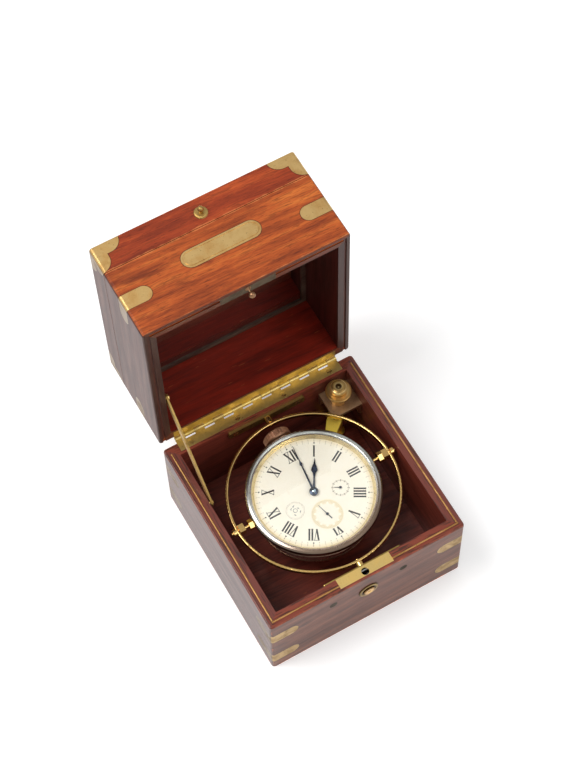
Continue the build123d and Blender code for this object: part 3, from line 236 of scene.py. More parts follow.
def makeInlayDirtAndShade():
    # 1 on the dark line round a let-in brass, dirt in the joint and painted shade of a gap: its outline
    # lies at one radius from a segment
    group, given, out = newGroup(
        "inlayDirtAndShade",
        [("Vector", "NodeSocketVector", None), ("Start", "NodeSocketVector", (0, 0, 0)),
         ("Along", "NodeSocketVector", (1, 0, 0)), ("Radius", "NodeSocketFloat", 0.004),
         ("Width", "NodeSocketFloat", 0.0004)],
        [("Gap", "NodeSocketFloat")])
    away = vectorMaths(group, "SUBTRACT", given.outputs["Vector"], given.outputs["Start"])
    run, length = (vectorMaths(group, "DOT_PRODUCT", first, given.outputs["Along"])
                   for first in (away, given.outputs["Along"]))
    foot = addNode(group, "ShaderNodeVectorMath", operation="SCALE")
    plug(group, foot, 0, given.outputs["Along"])
    plug(group, foot, "Scale", maths(group, "DIVIDE", run, length, clamp=True))
    apart = vectorMaths(group, "DISTANCE", away, foot.outputs[0])
    beyond = maths(group, "SUBTRACT", apart, given.outputs["Radius"])
    plug(group, out, "Gap", ramp(group, maths(group, "DIVIDE", beyond, given.outputs["Width"]),
                                 1.3, 0.6))
    return group


mahogany = makeMahogany()
arris = makeArris()
tarnish = makeTarnish()
inlayDirtAndShade = makeInlayDirtAndShade()


def startMaterial(name):
    material = bpy.data.materials.new(name)
    material.use_nodes = True
    tree = material.node_tree
    tree.nodes.clear()
    shader = addNode(tree, "ShaderNodeBsdfPrincipled")
    output = addNode(tree, "ShaderNodeOutputMaterial")
    tree.links.new(shader.outputs[0], output.inputs[0])
    where = addNode(tree, "ShaderNodeTexCoord").outputs["Object"]
    return material, tree, shader, output, where


def bump(tree, shader, height, strength, distance):
    node = addNode(tree, "ShaderNodeBump")
    plug(tree, node, "Strength", strength)
    plug(tree, node, "Distance", distance)
    plug(tree, node, "Height", height)
    tree.links.new(node.outputs[0], shader.inputs["Normal"])


# Wood colours: polished outside, stained inside, dark on the rim. Each face has its own set, lighter or
# darker as light falls on it, so the sets carry painted light and painted shade besides the wood's own
# colour

# the lid's fronts face up when it is open: lighter, painted light over the wood's colour; the other sets
# start from this one
litFrontWood = {
    "dark": tint(104, 42, 20), "middle": tint(172, 80, 34), "bright": tint(206, 114, 50),
    "patch": tint(96, 36, 20), "pore": tint(58, 22, 12), "worn": tint(222, 136, 80),
    "insideDark": tint(92, 24, 16), "insideBright": tint(146, 40, 24), "rim": tint(62, 40, 32),
    "patchShare": 0.85, "wear": 0.5, "roughness": 0.42, "specular": 0.20, "polish": 0.06,
    "bump": 0.25,
}
topWood = {**litFrontWood, "dark": tint(96, 34, 18), "middle": tint(150, 58, 28),
           "bright": tint(190, 86, 40), "patch": tint(80, 28, 16), "patchShare": 0.7}
# the lid's sides, turned from the key light: darker outside and inside, painted shade
shadedSideWood = {**litFrontWood, "dark": tint(60, 28, 22), "middle": tint(88, 44, 32),
            "bright": tint(110, 60, 42), "patch": tint(52, 24, 20), "worn": tint(124, 76, 56),
            "insideDark": tint(44, 18, 14), "insideBright": tint(84, 30, 22),
            "wear": 0.35, "roughness": 0.46, "specular": 0.22, "polish": 0.20}
panelWood = {**litFrontWood, "dark": tint(76, 34, 24), "middle": tint(112, 54, 36),
             "bright": tint(140, 74, 48), "patch": tint(64, 28, 20), "patchShare": 0.5,
             "roughness": 0.40, "polish": 0.15}
baseWood = {**litFrontWood, "dark": tint(74, 38, 26), "middle": tint(112, 60, 38),
            "bright": tint(144, 84, 50), "patch": tint(64, 32, 24), "worn": tint(214, 112, 62),
            "insideDark": tint(84, 34, 26), "insideBright": tint(140, 62, 46),
            "rim": tint(126, 54, 38), "wear": 0.85, "roughness": 0.40, "specular": 0.30,
            "polish": 0.15}
# the base's sides: darker than its front, painted shade
shadedBaseSideWood = {**baseWood, "dark": tint(66, 32, 25), "middle": tint(94, 50, 38),
                "bright": tint(120, 68, 50), "rim": tint(112, 50, 38), "wear": 0.5, "polish": 0.3,
                "specular": 0.4}

grainTurns = {
    "X": (0.0, 0.05, 0.04),
    "Y": (0.03, 0.0, -math.pi / 2),
    "Z": (0.0, math.pi / 2, 0.04),
}
woodLook = {
    "wearWidth": 0.0008, "gapWidth": 0.00035, "rimDepth": 0.0003, "margin": 0.0001,
    "streakShare": 0.62, "poreShare": 0.55, "scratchShare": 0.22, "rimShare": 0.8,
    "gapDirtAndShadeShare": 0.75, "gapDirtAndShadeColour": tint(34, 18, 12), "scratchScale": (120, 900, 1300),
    "rougher": 0.08, "smoother": 0.04, "coatRoughness": 0.16, "bumpDepth": 0.0001,
}


def blockOf(*names):
    # centre and half size of the block that some nodes fill
    lows, highs = zip(*(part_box(name) for name in names))
    low, high = np.min(lows, axis=0), np.max(highs, axis=0)
    return (low + high) / 2, (high - low) / 2


def fromCentre(tree, where, centre, keep=()):
    # distance from the block's centre along each axis; a kept axis keeps its sign
    parts = split(tree, vectorMaths(tree, "SUBTRACT", where, tuple(centre)))
    joined = addNode(tree, "ShaderNodeCombineXYZ")
    for axis in range(3):
        value = parts[axis] if axis in keep else maths(tree, "ABSOLUTE", parts[axis])
        plug(tree, joined, axis, value)
    return joined.outputs[0]


def gapDirtAndShadeRound(tree, where, centre, brasses):
    # the strongest of the dark lines, dirt and painted shade, round some brasses: (kept axes, start,
    # along, radius) from the centre
    total = None
    for keep, start, along, radius in brasses:
        gap = useGroup(tree, inlayDirtAndShade, Vector=fromCentre(tree, where, centre, keep), Start=start,
                       Along=along, Radius=radius, Width=woodLook["gapWidth"]).outputs["Gap"]
        total = gap if total is None else maths(tree, "MAXIMUM", total, gap)
    return total


def insideMask(tree, where, block):
    # 1 further in from the walls than their thickness, on both axes across the open one
    parts = split(tree, fromCentre(tree, where, block["centre"]))
    limits = block["half"] - block["wall"] + woodLook["margin"]
    first, second = [maths(tree, "LESS_THAN", parts[axis], limits[axis])
                     for axis in range(3) if axis != block["openAxis"]]
    return maths(tree, "MULTIPLY", first, second)


def woodMaterial(name, look, grain, drift, block):
    # polished outside and stained inside, the inside darker on faces in shade (painted shade), with a
    # dark rim and dark lines round the brasses that are dirt in the joints and painted shade of a gap
    material, tree, shader, _, where = startMaterial(name)
    turn = addNode(tree, "ShaderNodeMapping")
    plug(tree, turn, "Vector", where)
    plug(tree, turn, "Rotation", grainTurns[grain])
    figure = useGroup(tree, mahogany, Vector=turn.outputs[0], Drift=drift).outputs
    wear = useGroup(tree, arris, Vector=where, Centre=tuple(block["centre"]),
                    Half=tuple(block["half"]), Width=woodLook["wearWidth"]).outputs["Wear"]
    outside = colourRamp(tree, figure["Tone"], [
        (0.34, look["dark"]), (0.50, look["middle"]), (0.66, look["bright"])])
    outside = layer(tree, outside, look["dark"], figure["Streak"], woodLook["streakShare"])
    outside = layer(tree, outside, look["patch"], figure["Patch"], look["patchShare"])
    outside = layer(tree, outside, look["pore"], figure["Pores"], woodLook["poreShare"])
    outside = layer(tree, outside, look["worn"], wear, look["wear"])
    # inside: a red stain whose levels are set darker on faces in shade, painted shade
    inside = colourRamp(tree, figure["Tone"], [
        (0.35, look["insideDark"]), (0.70, look["insideBright"])])
    scratched = noise(tree, vectorMaths(tree, "MULTIPLY", where, woodLook["scratchScale"]), 1.0, 1.0)
    inside = layer(tree, inside, look["worn"], ramp(tree, scratched, 0.72, 0.78),
                   woodLook["scratchShare"])
    colour = layer(tree, outside, inside, insideMask(tree, where, block))
    if block["rim"] is not None:
        place = split(tree, where)[block["openAxis"]]
        nearRim = maths(tree, "ABSOLUTE", maths(tree, "SUBTRACT", place, block["rim"]))
        rimMask = ramp(tree, nearRim, 2 * woodLook["rimDepth"], woodLook["rimDepth"])
        rimTone = layer(tree, look["rim"], look["patch"], figure["Streak"])
        colour = layer(tree, colour, rimTone, rimMask, woodLook["rimShare"])
    if block["brasses"]:
        # dark lines round the brasses: dirt in the joints and painted shade of gaps
        gaps = gapDirtAndShadeRound(tree, where, block["gapCentre"], block["brasses"])
        colour = layer(tree, colour, woodLook["gapDirtAndShadeColour"], gaps, woodLook["gapDirtAndShadeShare"])
    plug(tree, shader, "Base Color", colour)
    plug(tree, shader, "Roughness", ramp(tree, figure["Tone"], 0.2, 0.8,
                                         look["roughness"] + woodLook["rougher"],
                                         look["roughness"] - woodLook["smoother"]))
    shader.inputs["Specular IOR Level"].default_value = look["specular"]
    shader.inputs["Coat Weight"].default_value = look["polish"]
    shader.inputs["Coat Roughness"].default_value = woodLook["coatRoughness"]
    bump(tree, shader, figure["Height"], look["bump"], woodLook["bumpDepth"])
    return material


def dress(name, material):
    mesh = nodes[name].data
    mesh.materials.clear()
    mesh.materials.append(material)


def roundCorner(keep, corner, reach, radius, axes):
    # a brass's arms from one corner, each a segment with round ends
    return [(keep, corner, tuple(-reach if i == axis else 0 for i in range(3)), radius) for axis in axes]


# Boards of the three tiers: each block says where its walls are and what is let into them

brassPlaces = {
    "strapHeights": (0.012, 0.0385), "strapReach": 0.01165, "strapRadius": 0.00435,
    "middleStrapY": 0.08125, "plateY": 0.08725, "plateReach": 0.0166, "plateRadius": 0.00515,
    "cornerReach": 0.0089, "cornerRadius": 0.0069,
}
wall = 0.007
baseCentre, baseHalf = blockOf("base_front_wall", "base_back_wall", "base_side_walls")
middleCentre, middleHalf = blockOf("middle_end_walls", "middle_side_walls")
topCentre, topHalf = blockOf("top_end_walls", "top_side_walls", "top_panel")
strapReach, strapRadius = brassPlaces["strapReach"], brassPlaces["strapRadius"]
strapMid = sum(brassPlaces["strapHeights"]) / 2
baseBrasses = roundCorner((), (baseHalf[0], baseHalf[1], brassPlaces["strapHeights"][1] - strapMid),
                          strapReach, strapRadius, (0, 1))
middleCorner = (middleHalf[0], brassPlaces["middleStrapY"] - middleCentre[1], middleHalf[2])
middleBrasses = roundCorner((1,), middleCorner, strapReach, strapRadius, (0, 2))
middleBrasses.append(((1, 2), (0, brassPlaces["plateY"] - middleCentre[1], middleHalf[2]),
                      (brassPlaces["plateReach"], 0, 0), brassPlaces["plateRadius"]))
topBrasses = roundCorner((1,), tuple(topHalf), brassPlaces["cornerReach"],
                         brassPlaces["cornerRadius"], (0, 1, 2))

baseBlock = {
    "centre": baseCentre, "half": baseHalf, "wall": wall, "openAxis": 2,
    "rim": baseCentre[2] + baseHalf[2], "brasses": baseBrasses,
    "gapCentre": (baseCentre[0], baseCentre[1], strapMid),
}
middleBlock = {
    "centre": middleCentre, "half": middleHalf, "wall": wall, "openAxis": 1,
    "rim": middleCentre[1] - middleHalf[1], "brasses": middleBrasses, "gapCentre": middleCentre,
}
topBlock = {
    "centre": topCentre, "half": topHalf, "wall": wall, "openAxis": 1, "rim": None,
    "brasses": topBrasses, "gapCentre": topCentre,
}
# bare boards have no rim and no brasses; a wall thicker than the block keeps the inside stain and its
# painted shade off
bare = {"rim": None, "brasses": ()}
solid = {"wall": 1.0}
beadWood = {**shadedSideWood, "middle": tint(84, 66, 54), "bright": tint(112, 94, 78)}
boards = {
    "base_front_wall": (baseWood, "X", 0.31, baseBlock),
    "base_side_walls": (shadedBaseSideWood, "Y", 0.77, baseBlock),
    "base_bottom": (baseWood, "X", 0.4, {**baseBlock, **bare}),
    "middle_end_walls": (litFrontWood, "X", 0.12, middleBlock),
    "middle_side_walls": (shadedSideWood, "Z", 0.5, middleBlock),
    "top_end_walls": (topWood, "X", 0.145, topBlock),
    "top_side_walls": (shadedSideWood, "Z", 0.62, topBlock),
    "top_panel": (panelWood, "X", 0.9, {**topBlock, **solid}),
}
for name, values in boards.items():
    dress(name, woodMaterial(name + "Wood", *values))
dress("base_back_wall", nodes["base_front_wall"].data.materials[0])
dress("glass_beads", woodMaterial("beadWood", beadWood, "X", 0.2, {**middleBlock, **bare, **solid}))
print("wood dressed")


# Metals

flank = baseHalf[0]
metalLook = {
    "ringUnit": 100.0, "spotShade": 0.55, "flankPaintedShade": tint(112, 92, 72), "flankPaintedShadeShare": 0.85,
    "flankFrom": 0.0005, "flankTo": 0.0001, "rougher": 0.22, "coatRoughness": 0.2,
    "bumpDepth": 0.00003,
}


def metalMaterial(name, bright, dull, roughness, amount, metallic=1.0, strength=0.08, lacquer=0.0,
                  rings=None):
    # rings: (centre, axis, stops) bands a turned piece by its radius in centimetres, in painted
    # highlight and painted shade; lacquer is a clear coat, and where it is set the faces on the box's
    # flanks get a painted shade
    material, tree, shader, _, where = startMaterial(name)
    age = useGroup(tree, tarnish, Vector=where, Amount=amount).outputs
    if rings is not None:
        centre, axis, stops = rings
        radius = maths(tree, "MULTIPLY", distanceFrom(tree, where, centre, axis),
                       metalLook["ringUnit"])
        bright = colourRamp(tree, radius, stops)
    colour = layer(tree, bright, dull, age["Patch"])
    spotColour = (*(metalLook["spotShade"] * c for c in dull[:3]), 1.0)
    colour = layer(tree, colour, spotColour, age["Spot"])
    # painted shade: brass on the box's flanks is darkened to the grey-brown of the shaded sides
    if lacquer:
        across = maths(tree, "ABSOLUTE", split(tree, where)[0])
        side = ramp(tree, across, flank - metalLook["flankFrom"], flank - metalLook["flankTo"])
        colour = layer(tree, colour, metalLook["flankPaintedShade"], side, metalLook["flankPaintedShadeShare"])
    plug(tree, shader, "Base Color", colour)
    plug(tree, shader, "Roughness", ramp(tree, age["Patch"], 0.0, 1.0,
                                         roughness, min(1.0, roughness + metalLook["rougher"])))
    shader.inputs["Metallic"].default_value = metallic
    shader.inputs["Coat Weight"].default_value = lacquer
    shader.inputs["Coat Roughness"].default_value = metalLook["coatRoughness"]
    bump(tree, shader, age["Height"], strength, metalLook["bumpDepth"])
    return material


gold, darkGold = tint(240, 208, 128), tint(150, 112, 58)
knobPlace = (0.0408, 0.0429, 0.0)
buttonPlace = (0.0, 0.0, 0.038)
# bands of painted highlight and painted shade across the knob's turned faces
knobLightRings = (knobPlace, 2, [
    (0.03, tint(250, 226, 160)), (0.06, tint(70, 48, 26)), (0.15, tint(84, 60, 34)),
    (0.19, tint(250, 220, 150)), (0.27, tint(214, 176, 108)), (0.36, tint(120, 88, 48)),
    (0.44, tint(248, 216, 146)), (0.60, tint(190, 148, 88))])
# the cup's dark patina, with a ring of painted highlight on its lip
escutcheonLightRings = (buttonPlace, 1, [
    (0.33, tint(60, 46, 26)), (0.40, tint(96, 76, 44)), (0.50, tint(188, 158, 98)),
    (0.57, tint(72, 56, 32))])
# the button's painted highlight, a bright ring across it
buttonLightRings = (buttonPlace, 1, [
    (0.05, tint(170, 128, 76)), (0.14, tint(236, 196, 130)), (0.24, tint(206, 160, 98)),
    (0.32, tint(110, 82, 46))])
# bright, dull, roughness, amount of tarnish, metallic, bump strength, lacquer (also paints shade on the
# flanks), rings (painted highlight and shade)
metals = {
    "agedBrass": (tint(206, 172, 104), tint(140, 108, 58), 0.36, 0.8, 1.0, 0.06),
    "plateBrass": (tint(230, 192, 126), tint(178, 138, 80), 0.36, 0.8, 0.95, 0.03, 0.15),
    # the base's straps: duller and darker than the plate brass, tarnish and painted shade as the base's
    # front gets less light
    "shadedStrapBrass": (tint(186, 152, 94), tint(132, 104, 60), 0.38, 0.8, 0.95, 0.03, 0.15),
    "screwBrass": (tint(252, 226, 150), tint(190, 150, 80), 0.24, 0.5, 1.0, 0.05),
    "lockBrass": (tint(240, 208, 132), tint(206, 170, 98), 0.32, 0.6, 1.0, 0.06),
    "hingeBrass": (tint(214, 188, 120), tint(156, 130, 74), 0.38, 0.55, 1.0, 0.02),
    "knuckleBrass": (tint(216, 188, 108), tint(160, 134, 66), 0.34, 0.5, 1.0, 0.02),
    "beadBrass": (tint(196, 150, 94), tint(146, 102, 58), 0.5, 0.6, 1.0, 0.04),
    "stripBrass": (tint(176, 148, 84), tint(112, 90, 46), 0.38, 0.8, 1.0, 0.10),
    "ringBrass": (tint(236, 198, 126), tint(186, 144, 84), 0.20, 0.4, 1.0, 0.0),
    # the lock arm: bright yellow, the colour of its lit top, painted light over the lock's brass
    "litArmBrass": (tint(255, 226, 92), tint(236, 196, 66), 0.34, 0.3, 0.55, 0.0),
    "knobBrass": (gold, darkGold, 0.30, 0.30, 0.9, 0.0, 0.0, knobLightRings),
    # the lock post: the same bright yellow, painted light
    "litPostBrass": (tint(252, 214, 92), tint(206, 158, 56), 0.30, 0.4, 0.7, 0.0),
    "cornerBrass": (tint(202, 166, 126), tint(150, 110, 80), 0.40, 0.6, 0.9, 0.02),
    "crownBrass": (tint(206, 158, 126), tint(134, 88, 68), 0.34, 0.7, 0.95, 0.02),
    "cupBrass": (gold, tint(66, 50, 28), 0.36, 0.55, 1.0, 0.10, 0.0, escutcheonLightRings),
    "buttonBrass": (gold, tint(120, 88, 50), 0.24, 0.35, 1.0, 0.05, 0.0, buttonLightRings),
    "darkBrass": (tint(74, 62, 44), tint(44, 36, 28), 0.5, 0.7, 1.0, 0.12),
    "pinBrass": (tint(156, 118, 88), tint(110, 78, 58), 0.36, 0.6, 1.0, 0.02),
    "greyPlate": (tint(96, 80, 60), tint(58, 44, 34), 0.6, 0.8, 0.5, 0.10),
    # the case's band and back: dark brown, painted shade and painted reflection of the dark wood under
    # the bezel
    "shadedBandMetal": (tint(150, 122, 104), tint(84, 62, 50), 0.24, 0.5, 1.0, 0.0),
    "steel": (tint(190, 190, 188), tint(120, 118, 114), 0.25, 0.4, 1.0, 0.06),
    "bluedSteel": (tint(66, 76, 92), tint(40, 46, 56), 0.26, 0.4, 1.0, 0.03),
}
made = {name: metalMaterial(name, *values) for name, values in metals.items()}
worn = {
    "beadBrass": ("rim_beads",),
    "shadedStrapBrass": ("base_corner_straps",),
    "plateBrass": ("middle_corner_straps", "oval_plate", "top_corner_brasses"),
    "lockBrass": ("lock_plate",),
    "screwBrass": ("base_screws", "lid_screws"),
    "agedBrass": ("lock_case", "lid_stay", "top_hinge_lower_leaf", "top_hinge_upper_leaf",
                  "top_catch_strike", "top_button", "top_button_collar", "top_screws",
                  "movement_plates", "going_train"),
    "darkBrass": ("lock_end_plugs",),
    "cupBrass": ("button_escutcheon",),
    "buttonBrass": ("push_button",),
    "stripBrass": ("pivot_plates",),
    "ringBrass": ("ring_pivots", "gimbal_ring", "trunnion_bushes", "watch_trunnions", "balance"),
    "cornerBrass": ("corner_plate",),
    "litPostBrass": ("lock_post",),
    "knobBrass": ("lock_knob",),
    "litArmBrass": ("lock_arm",),
    "hingeBrass": ("main_hinge_base_leaf",),
    "knuckleBrass": ("main_hinge_lid_leaf",),
    "pinBrass": ("catch_pin",),
    "greyPlate": ("catch_plate",),
    "crownBrass": ("crown",),
    "steel": ("main_hinge_pin", "latch", "top_hinge_pin", "winding_stem"),
    "shadedBandMetal": ("watch_band", "watch_back"),
    "bluedSteel": ("hour_hand", "minute_hand", "seconds_hand", "indicator_hand"),
}
for label, names in worn.items():
    for name in names:
        dress(name, made[label])


# Bezel: polished nickel silver, browner towards the front as a painted reflection of the dark wood, with
# a tan inner edge that is a painted reflection of the dial

watchPlace = (0.0007, -0.0004)
bezelLook = {
    "bright": tint(214, 216, 210), "reflectionBrown": tint(146, 116, 94), "dull": tint(140, 128, 112),
    "tan": tint(222, 206, 166), "from": 0.004, "to": -0.030, "share": 0.9,
    "innerEdge": 0.0326, "innerWidth": 0.0003, "tarnish": 0.35,
    "roughness": 0.22, "dullRoughness": 0.42, "bump": 0.02, "bumpDepth": 0.00002,
}


def bezelMaterial():
    material, tree, shader, _, where = startMaterial("bezelSilver")
    age = useGroup(tree, tarnish, Vector=where, Amount=bezelLook["tarnish"]).outputs
    # painted reflection: browner towards the front, as the dark wood would show in the silver
    front = ramp(tree, split(tree, where)[1], bezelLook["from"], bezelLook["to"])
    colour = layer(tree, bezelLook["bright"], bezelLook["reflectionBrown"], front, bezelLook["share"])
    colour = layer(tree, colour, bezelLook["dull"], age["Patch"])
    # painted reflection of the cream dial on the tan inner edge
    inner = ramp(tree, distanceFrom(tree, where, (*watchPlace, 0.0), 2),
                 bezelLook["innerEdge"] + bezelLook["innerWidth"], bezelLook["innerEdge"])
    colour = layer(tree, colour, bezelLook["tan"], inner)
    plug(tree, shader, "Base Color", colour)
    plug(tree, shader, "Roughness", ramp(tree, age["Patch"], 0.0, 1.0,
                                         bezelLook["roughness"], bezelLook["dullRoughness"]))
    shader.inputs["Metallic"].default_value = 1.0
    bump(tree, shader, age["Height"], bezelLook["bump"], bezelLook["bumpDepth"])
    return material


dress("watch_bezel", bezelMaterial())
print("metal dressed")


# Glass: clear to shadow rays, so that what lies under it is lit

glassBend = 1.45


def glassMaterial(name, colour):
    material, tree, shader, output, _ = startMaterial(name)
    shader.inputs["Base Color"].default_value = colour
    shader.inputs["Roughness"].default_value = 0.0
    shader.inputs["Transmission Weight"].default_value = 1.0
    shader.inputs["IOR"].default_value = glassBend
    clear = addNode(tree, "ShaderNodeBsdfTransparent")
    rays = addNode(tree, "ShaderNodeLightPath")
    mix = addNode(tree, "ShaderNodeMixShader")
    unseen = maths(tree, "MAXIMUM", rays.outputs["Is Shadow Ray"], rays.outputs["Is Diffuse Ray"])
    tree.links.new(unseen, mix.inputs[0])
    tree.links.new(shader.outputs[0], mix.inputs[1])
    tree.links.new(clear.outputs[0], mix.inputs[2])
    tree.links.new(mix.outputs[0], output.inputs[0])
    return material


dress("watch_crystal", glassMaterial("crystalGlass", (1.0, 1.0, 1.0, 1.0)))
dress("glass_pane", glassMaterial("paneGlass", (0.94, 0.97, 0.95, 1.0)))


# Dial: cream enamel, a little darker in the sunk seconds circle and at the rim

dialLook = {
    "cream": tint(246, 240, 222), "warm": tint(232, 216, 176), "edge": tint(214, 196, 150),
    "top": 0.0482, "rimFrom": 0.0285, "opening": 0.0312, "secondsOffset": 0.0142,
    "secondsRadius": 0.0084, "recess": 0.00025, "innerFade": (0.66, 0.76),
    "outerFade": (1.01, 0.98), "warmShare": 0.55, "edgeShare": 0.55, "mottleScale": 300.0,
    "mottleShare": 0.10, "grainScale": 1800.0, "roughness": 0.45, "bump": 0.05,
    "bumpDepth": 0.00002,
}


def dialMaterial():
    material, tree, shader, _, where = startMaterial("dialEnamel")
    x, y = watchPlace
    rim = ramp(tree, distanceFrom(tree, where, (x, y, 0.0), 2), dialLook["rimFrom"],
               dialLook["opening"])
    seconds = distanceFrom(tree, where, (x, y - dialLook["secondsOffset"], 0.0), 2)
    inner, outer = (ramp(tree, seconds, *(dialLook["secondsRadius"] * share for share in fade))
                    for fade in (dialLook["innerFade"], dialLook["outerFade"]))
    ring = maths(tree, "MULTIPLY", inner, outer)
    mottle = ramp(tree, noise(tree, where, dialLook["mottleScale"], 3.0), 0.3, 0.75)
    colour = layer(tree, dialLook["cream"], dialLook["warm"], mottle, dialLook["mottleShare"])
    colour = layer(tree, colour, dialLook["warm"], ring, dialLook["warmShare"])
    colour = layer(tree, colour, dialLook["edge"], rim, dialLook["edgeShare"])
    plug(tree, shader, "Base Color", colour)
    shader.inputs["Roughness"].default_value = dialLook["roughness"]
    bump(tree, shader, noise(tree, where, dialLook["grainScale"], 2.0), dialLook["bump"],
         dialLook["bumpDepth"])
    return material


dress("watch_dial", dialMaterial())
print("dial and glass dressed")


# Dial print: ink lines a few hundredths of a millimetre thick, in the dial's own plane

printLook = {
    "height": 0.00004,
    "lift": 0.000005,
    "foot": 0.0209,
    "head": 0.0272,
    "thick": 0.00088,
    "thin": 0.00030,
    "serif": 0.00026,
    "advance": {"I": 0.00155, "V": 0.0030, "X": 0.0033},
    "words": ("XII", "I", "II", "III", "IIII", "V", "VI", "VII", "VIII", "IX", "X", "XI"),
    "shortFoot": {6: 0.0230},
    "crossInset": 0.00045,
    "serifInset": 0.0002,
    "dotReach": 0.0288,
    "dotSides": 10,
    "hourDot": 0.00042,
    "minuteDot": 0.00021,
    "tickFrom": 0.0295,
    "tickTo": 0.0308,
    "hourTick": 0.00024,
    "minuteTick": 0.00014,
}


def inkLevels(outline, face):
    # the same outline at the underside and at the top of the ink, just above the dial's face
    level = face + printLook["lift"]
    return [np.concatenate([outline, np.full(outline.shape[:2] + (1,), z)], axis=2)
            for z in (level, level + printLook["height"])]


def strokePrisms(lines, face):
    # each line (x0, y0, x1, y1, width) becomes a flat bar: its ends are offset by half the width
    # across the line, and the bar stands from just above the dial to the ink's height
    lines = np.array(lines, dtype=float)
    start, end = lines[:, 0:2], lines[:, 2:4]
    run = end - start
    unit = run / np.linalg.norm(run, axis=1, keepdims=True)
    across = np.stack([-unit[:, 1], unit[:, 0]], axis=1) * lines[:, 4:5] / 2
    flat = np.stack([start - across, end - across, end + across, start + across], axis=1)
    low, high = inkLevels(flat, face)
    points = np.concatenate([low, high], axis=1).reshape(-1, 3)
    faces = np.array([(3, 2, 1, 0), (4, 5, 6, 7), (0, 1, 5, 4), (1, 2, 6, 5), (2, 3, 7, 6),
                      (3, 0, 4, 7)])
    faces = (faces[None, :, :] + 8 * np.arange(len(lines))[:, None, None]).reshape(-1, 4)
    return points, faces.tolist()


def dotPrisms(places, radius, face):
    # each dot is a low prism on a regular polygon: its corners lie on a circle round the place
    places, sides = np.array(places, dtype=float), printLook["dotSides"]
    angle = np.arange(sides) * 2 * np.pi / sides
    rim = places[:, None, :] + radius * np.stack([np.cos(angle), np.sin(angle)], axis=1)[None]
    low, high = inkLevels(rim, face)
    points = np.concatenate([low, high], axis=1).reshape(-1, 3)
    i, j = np.arange(sides), (np.arange(sides) + 1) % sides
    starts = 2 * sides * np.arange(len(places))
    walls = np.stack([i, j, j + sides, i + sides], axis=1)
    faces = (walls[None] + starts[:, None, None]).reshape(-1, 4).tolist()
    faces += (np.arange(sides)[None, ::-1] + starts[:, None]).tolist()
    faces += (sides + np.arange(sides)[None, :] + starts[:, None]).tolist()
    return points, faces


def onDial(hour, across, out):
    # a point beside the ray of one hour: out along the ray, across clockwise from it
    angle = hour * math.pi / 6
    x, y = watchPlace
    return (x + out * math.sin(angle) + across * math.cos(angle),
            y + out * math.cos(angle) - across * math.sin(angle))


def rayLine(hour, across0, out0, across1, out1, width):
    return (*onDial(hour, across0, out0), *onDial(hour, across1, out1), width)


def numeralLines(hour, word):
    # letters side by side across the hour's ray, centred on it; each stroke is a straight bar from
    # foot to head, and serifs lie across the ends
    foot = printLook["shortFoot"].get(hour, printLook["foot"])
    head, thick, thin, serif = (printLook[key] for key in ("head", "thick", "thin", "serif"))
    widths = [printLook["advance"][letter] for letter in word]
    left = -sum(widths) / 2
    lines = []
    for letter, width in zip(word, widths):
        right = left + width
        middle, inset = (left + right) / 2, printLook["crossInset"]
        if letter == "I":
            lines.append(rayLine(hour, middle, foot, middle, head, thick))
            ends = (left + printLook["serifInset"], right - printLook["serifInset"])
        elif letter == "V":
            lines.append(rayLine(hour, left + inset, head, middle, foot, thick))
            lines.append(rayLine(hour, right - inset, head, middle, foot, thin))
            ends = (left, right)
        else:
            lines.append(rayLine(hour, left + inset, head, right - inset, foot, thick))
            lines.append(rayLine(hour, left + inset, foot, right - inset, head, thin))
            ends = (left, right)
        for out in (foot, head):
            if letter == "V" and out == foot:
                continue
            lines.append(rayLine(hour, ends[0], out, ends[1], out, serif))
        left = right
    return lines


def polar(place, radius, angle):
    return place[0] + radius * math.cos(angle), place[1] + radius * math.sin(angle)


def circleLines(place, radius, width, sides):
    # a ring of straight bars: bar i joins the circle's points at i and i + 1 steps
    step = 2 * math.pi / sides
    return [(*polar(place, radius, step * i), *polar(place, radius, step * i + step), width)
            for i in range(sides)]


def spokeLines(place, inner, outer, width, count):
    # bars along the radii at equal steps, from the inner radius to the outer one
    step = 2 * math.pi / count
    return [(*polar(place, inner, step * i), *polar(place, outer, step * i), width)
            for i in range(count)]


inkLook = {
    "wearScale": 2600.0, "wearShare": 0.3, "roughness": 0.5, "grainScale": 4000.0, "bump": 0.05,
    "bumpDepth": 0.00001,
}


def inkMaterial(name, colour, faded):
    material, tree, shader, _, where = startMaterial(name)
    wear = ramp(tree, noise(tree, where, inkLook["wearScale"], 3.0, 0.6), 0.45, 0.75)
    plug(tree, shader, "Base Color", layer(tree, colour, faded, wear, inkLook["wearShare"]))
    shader.inputs["Roughness"].default_value = inkLook["roughness"]
    bump(tree, shader, noise(tree, where, inkLook["grainScale"], 2.0), inkLook["bump"],
         inkLook["bumpDepth"])
    return material


def addObject(name, data):
    item = bpy.data.objects.new(name, data)
    bpy.context.scene.collection.objects.link(item)
    return item


def newMesh(name, points, faces, material, smooth=False):
    mesh = bpy.data.meshes.new(name)
    mesh.from_pydata(points.tolist(), [], faces)
    mesh.materials.append(material)
    mesh.polygons.foreach_set("use_smooth", np.full(len(mesh.polygons), smooth))
    return mesh


def meshPiece(name, points, faces, material, body, smooth=False):
    piece = addObject(name, newMesh(name, points, faces, material, smooth))
    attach(piece, body)


# Marks of the two small dials and the seconds circle; angles are clockwise from twelve

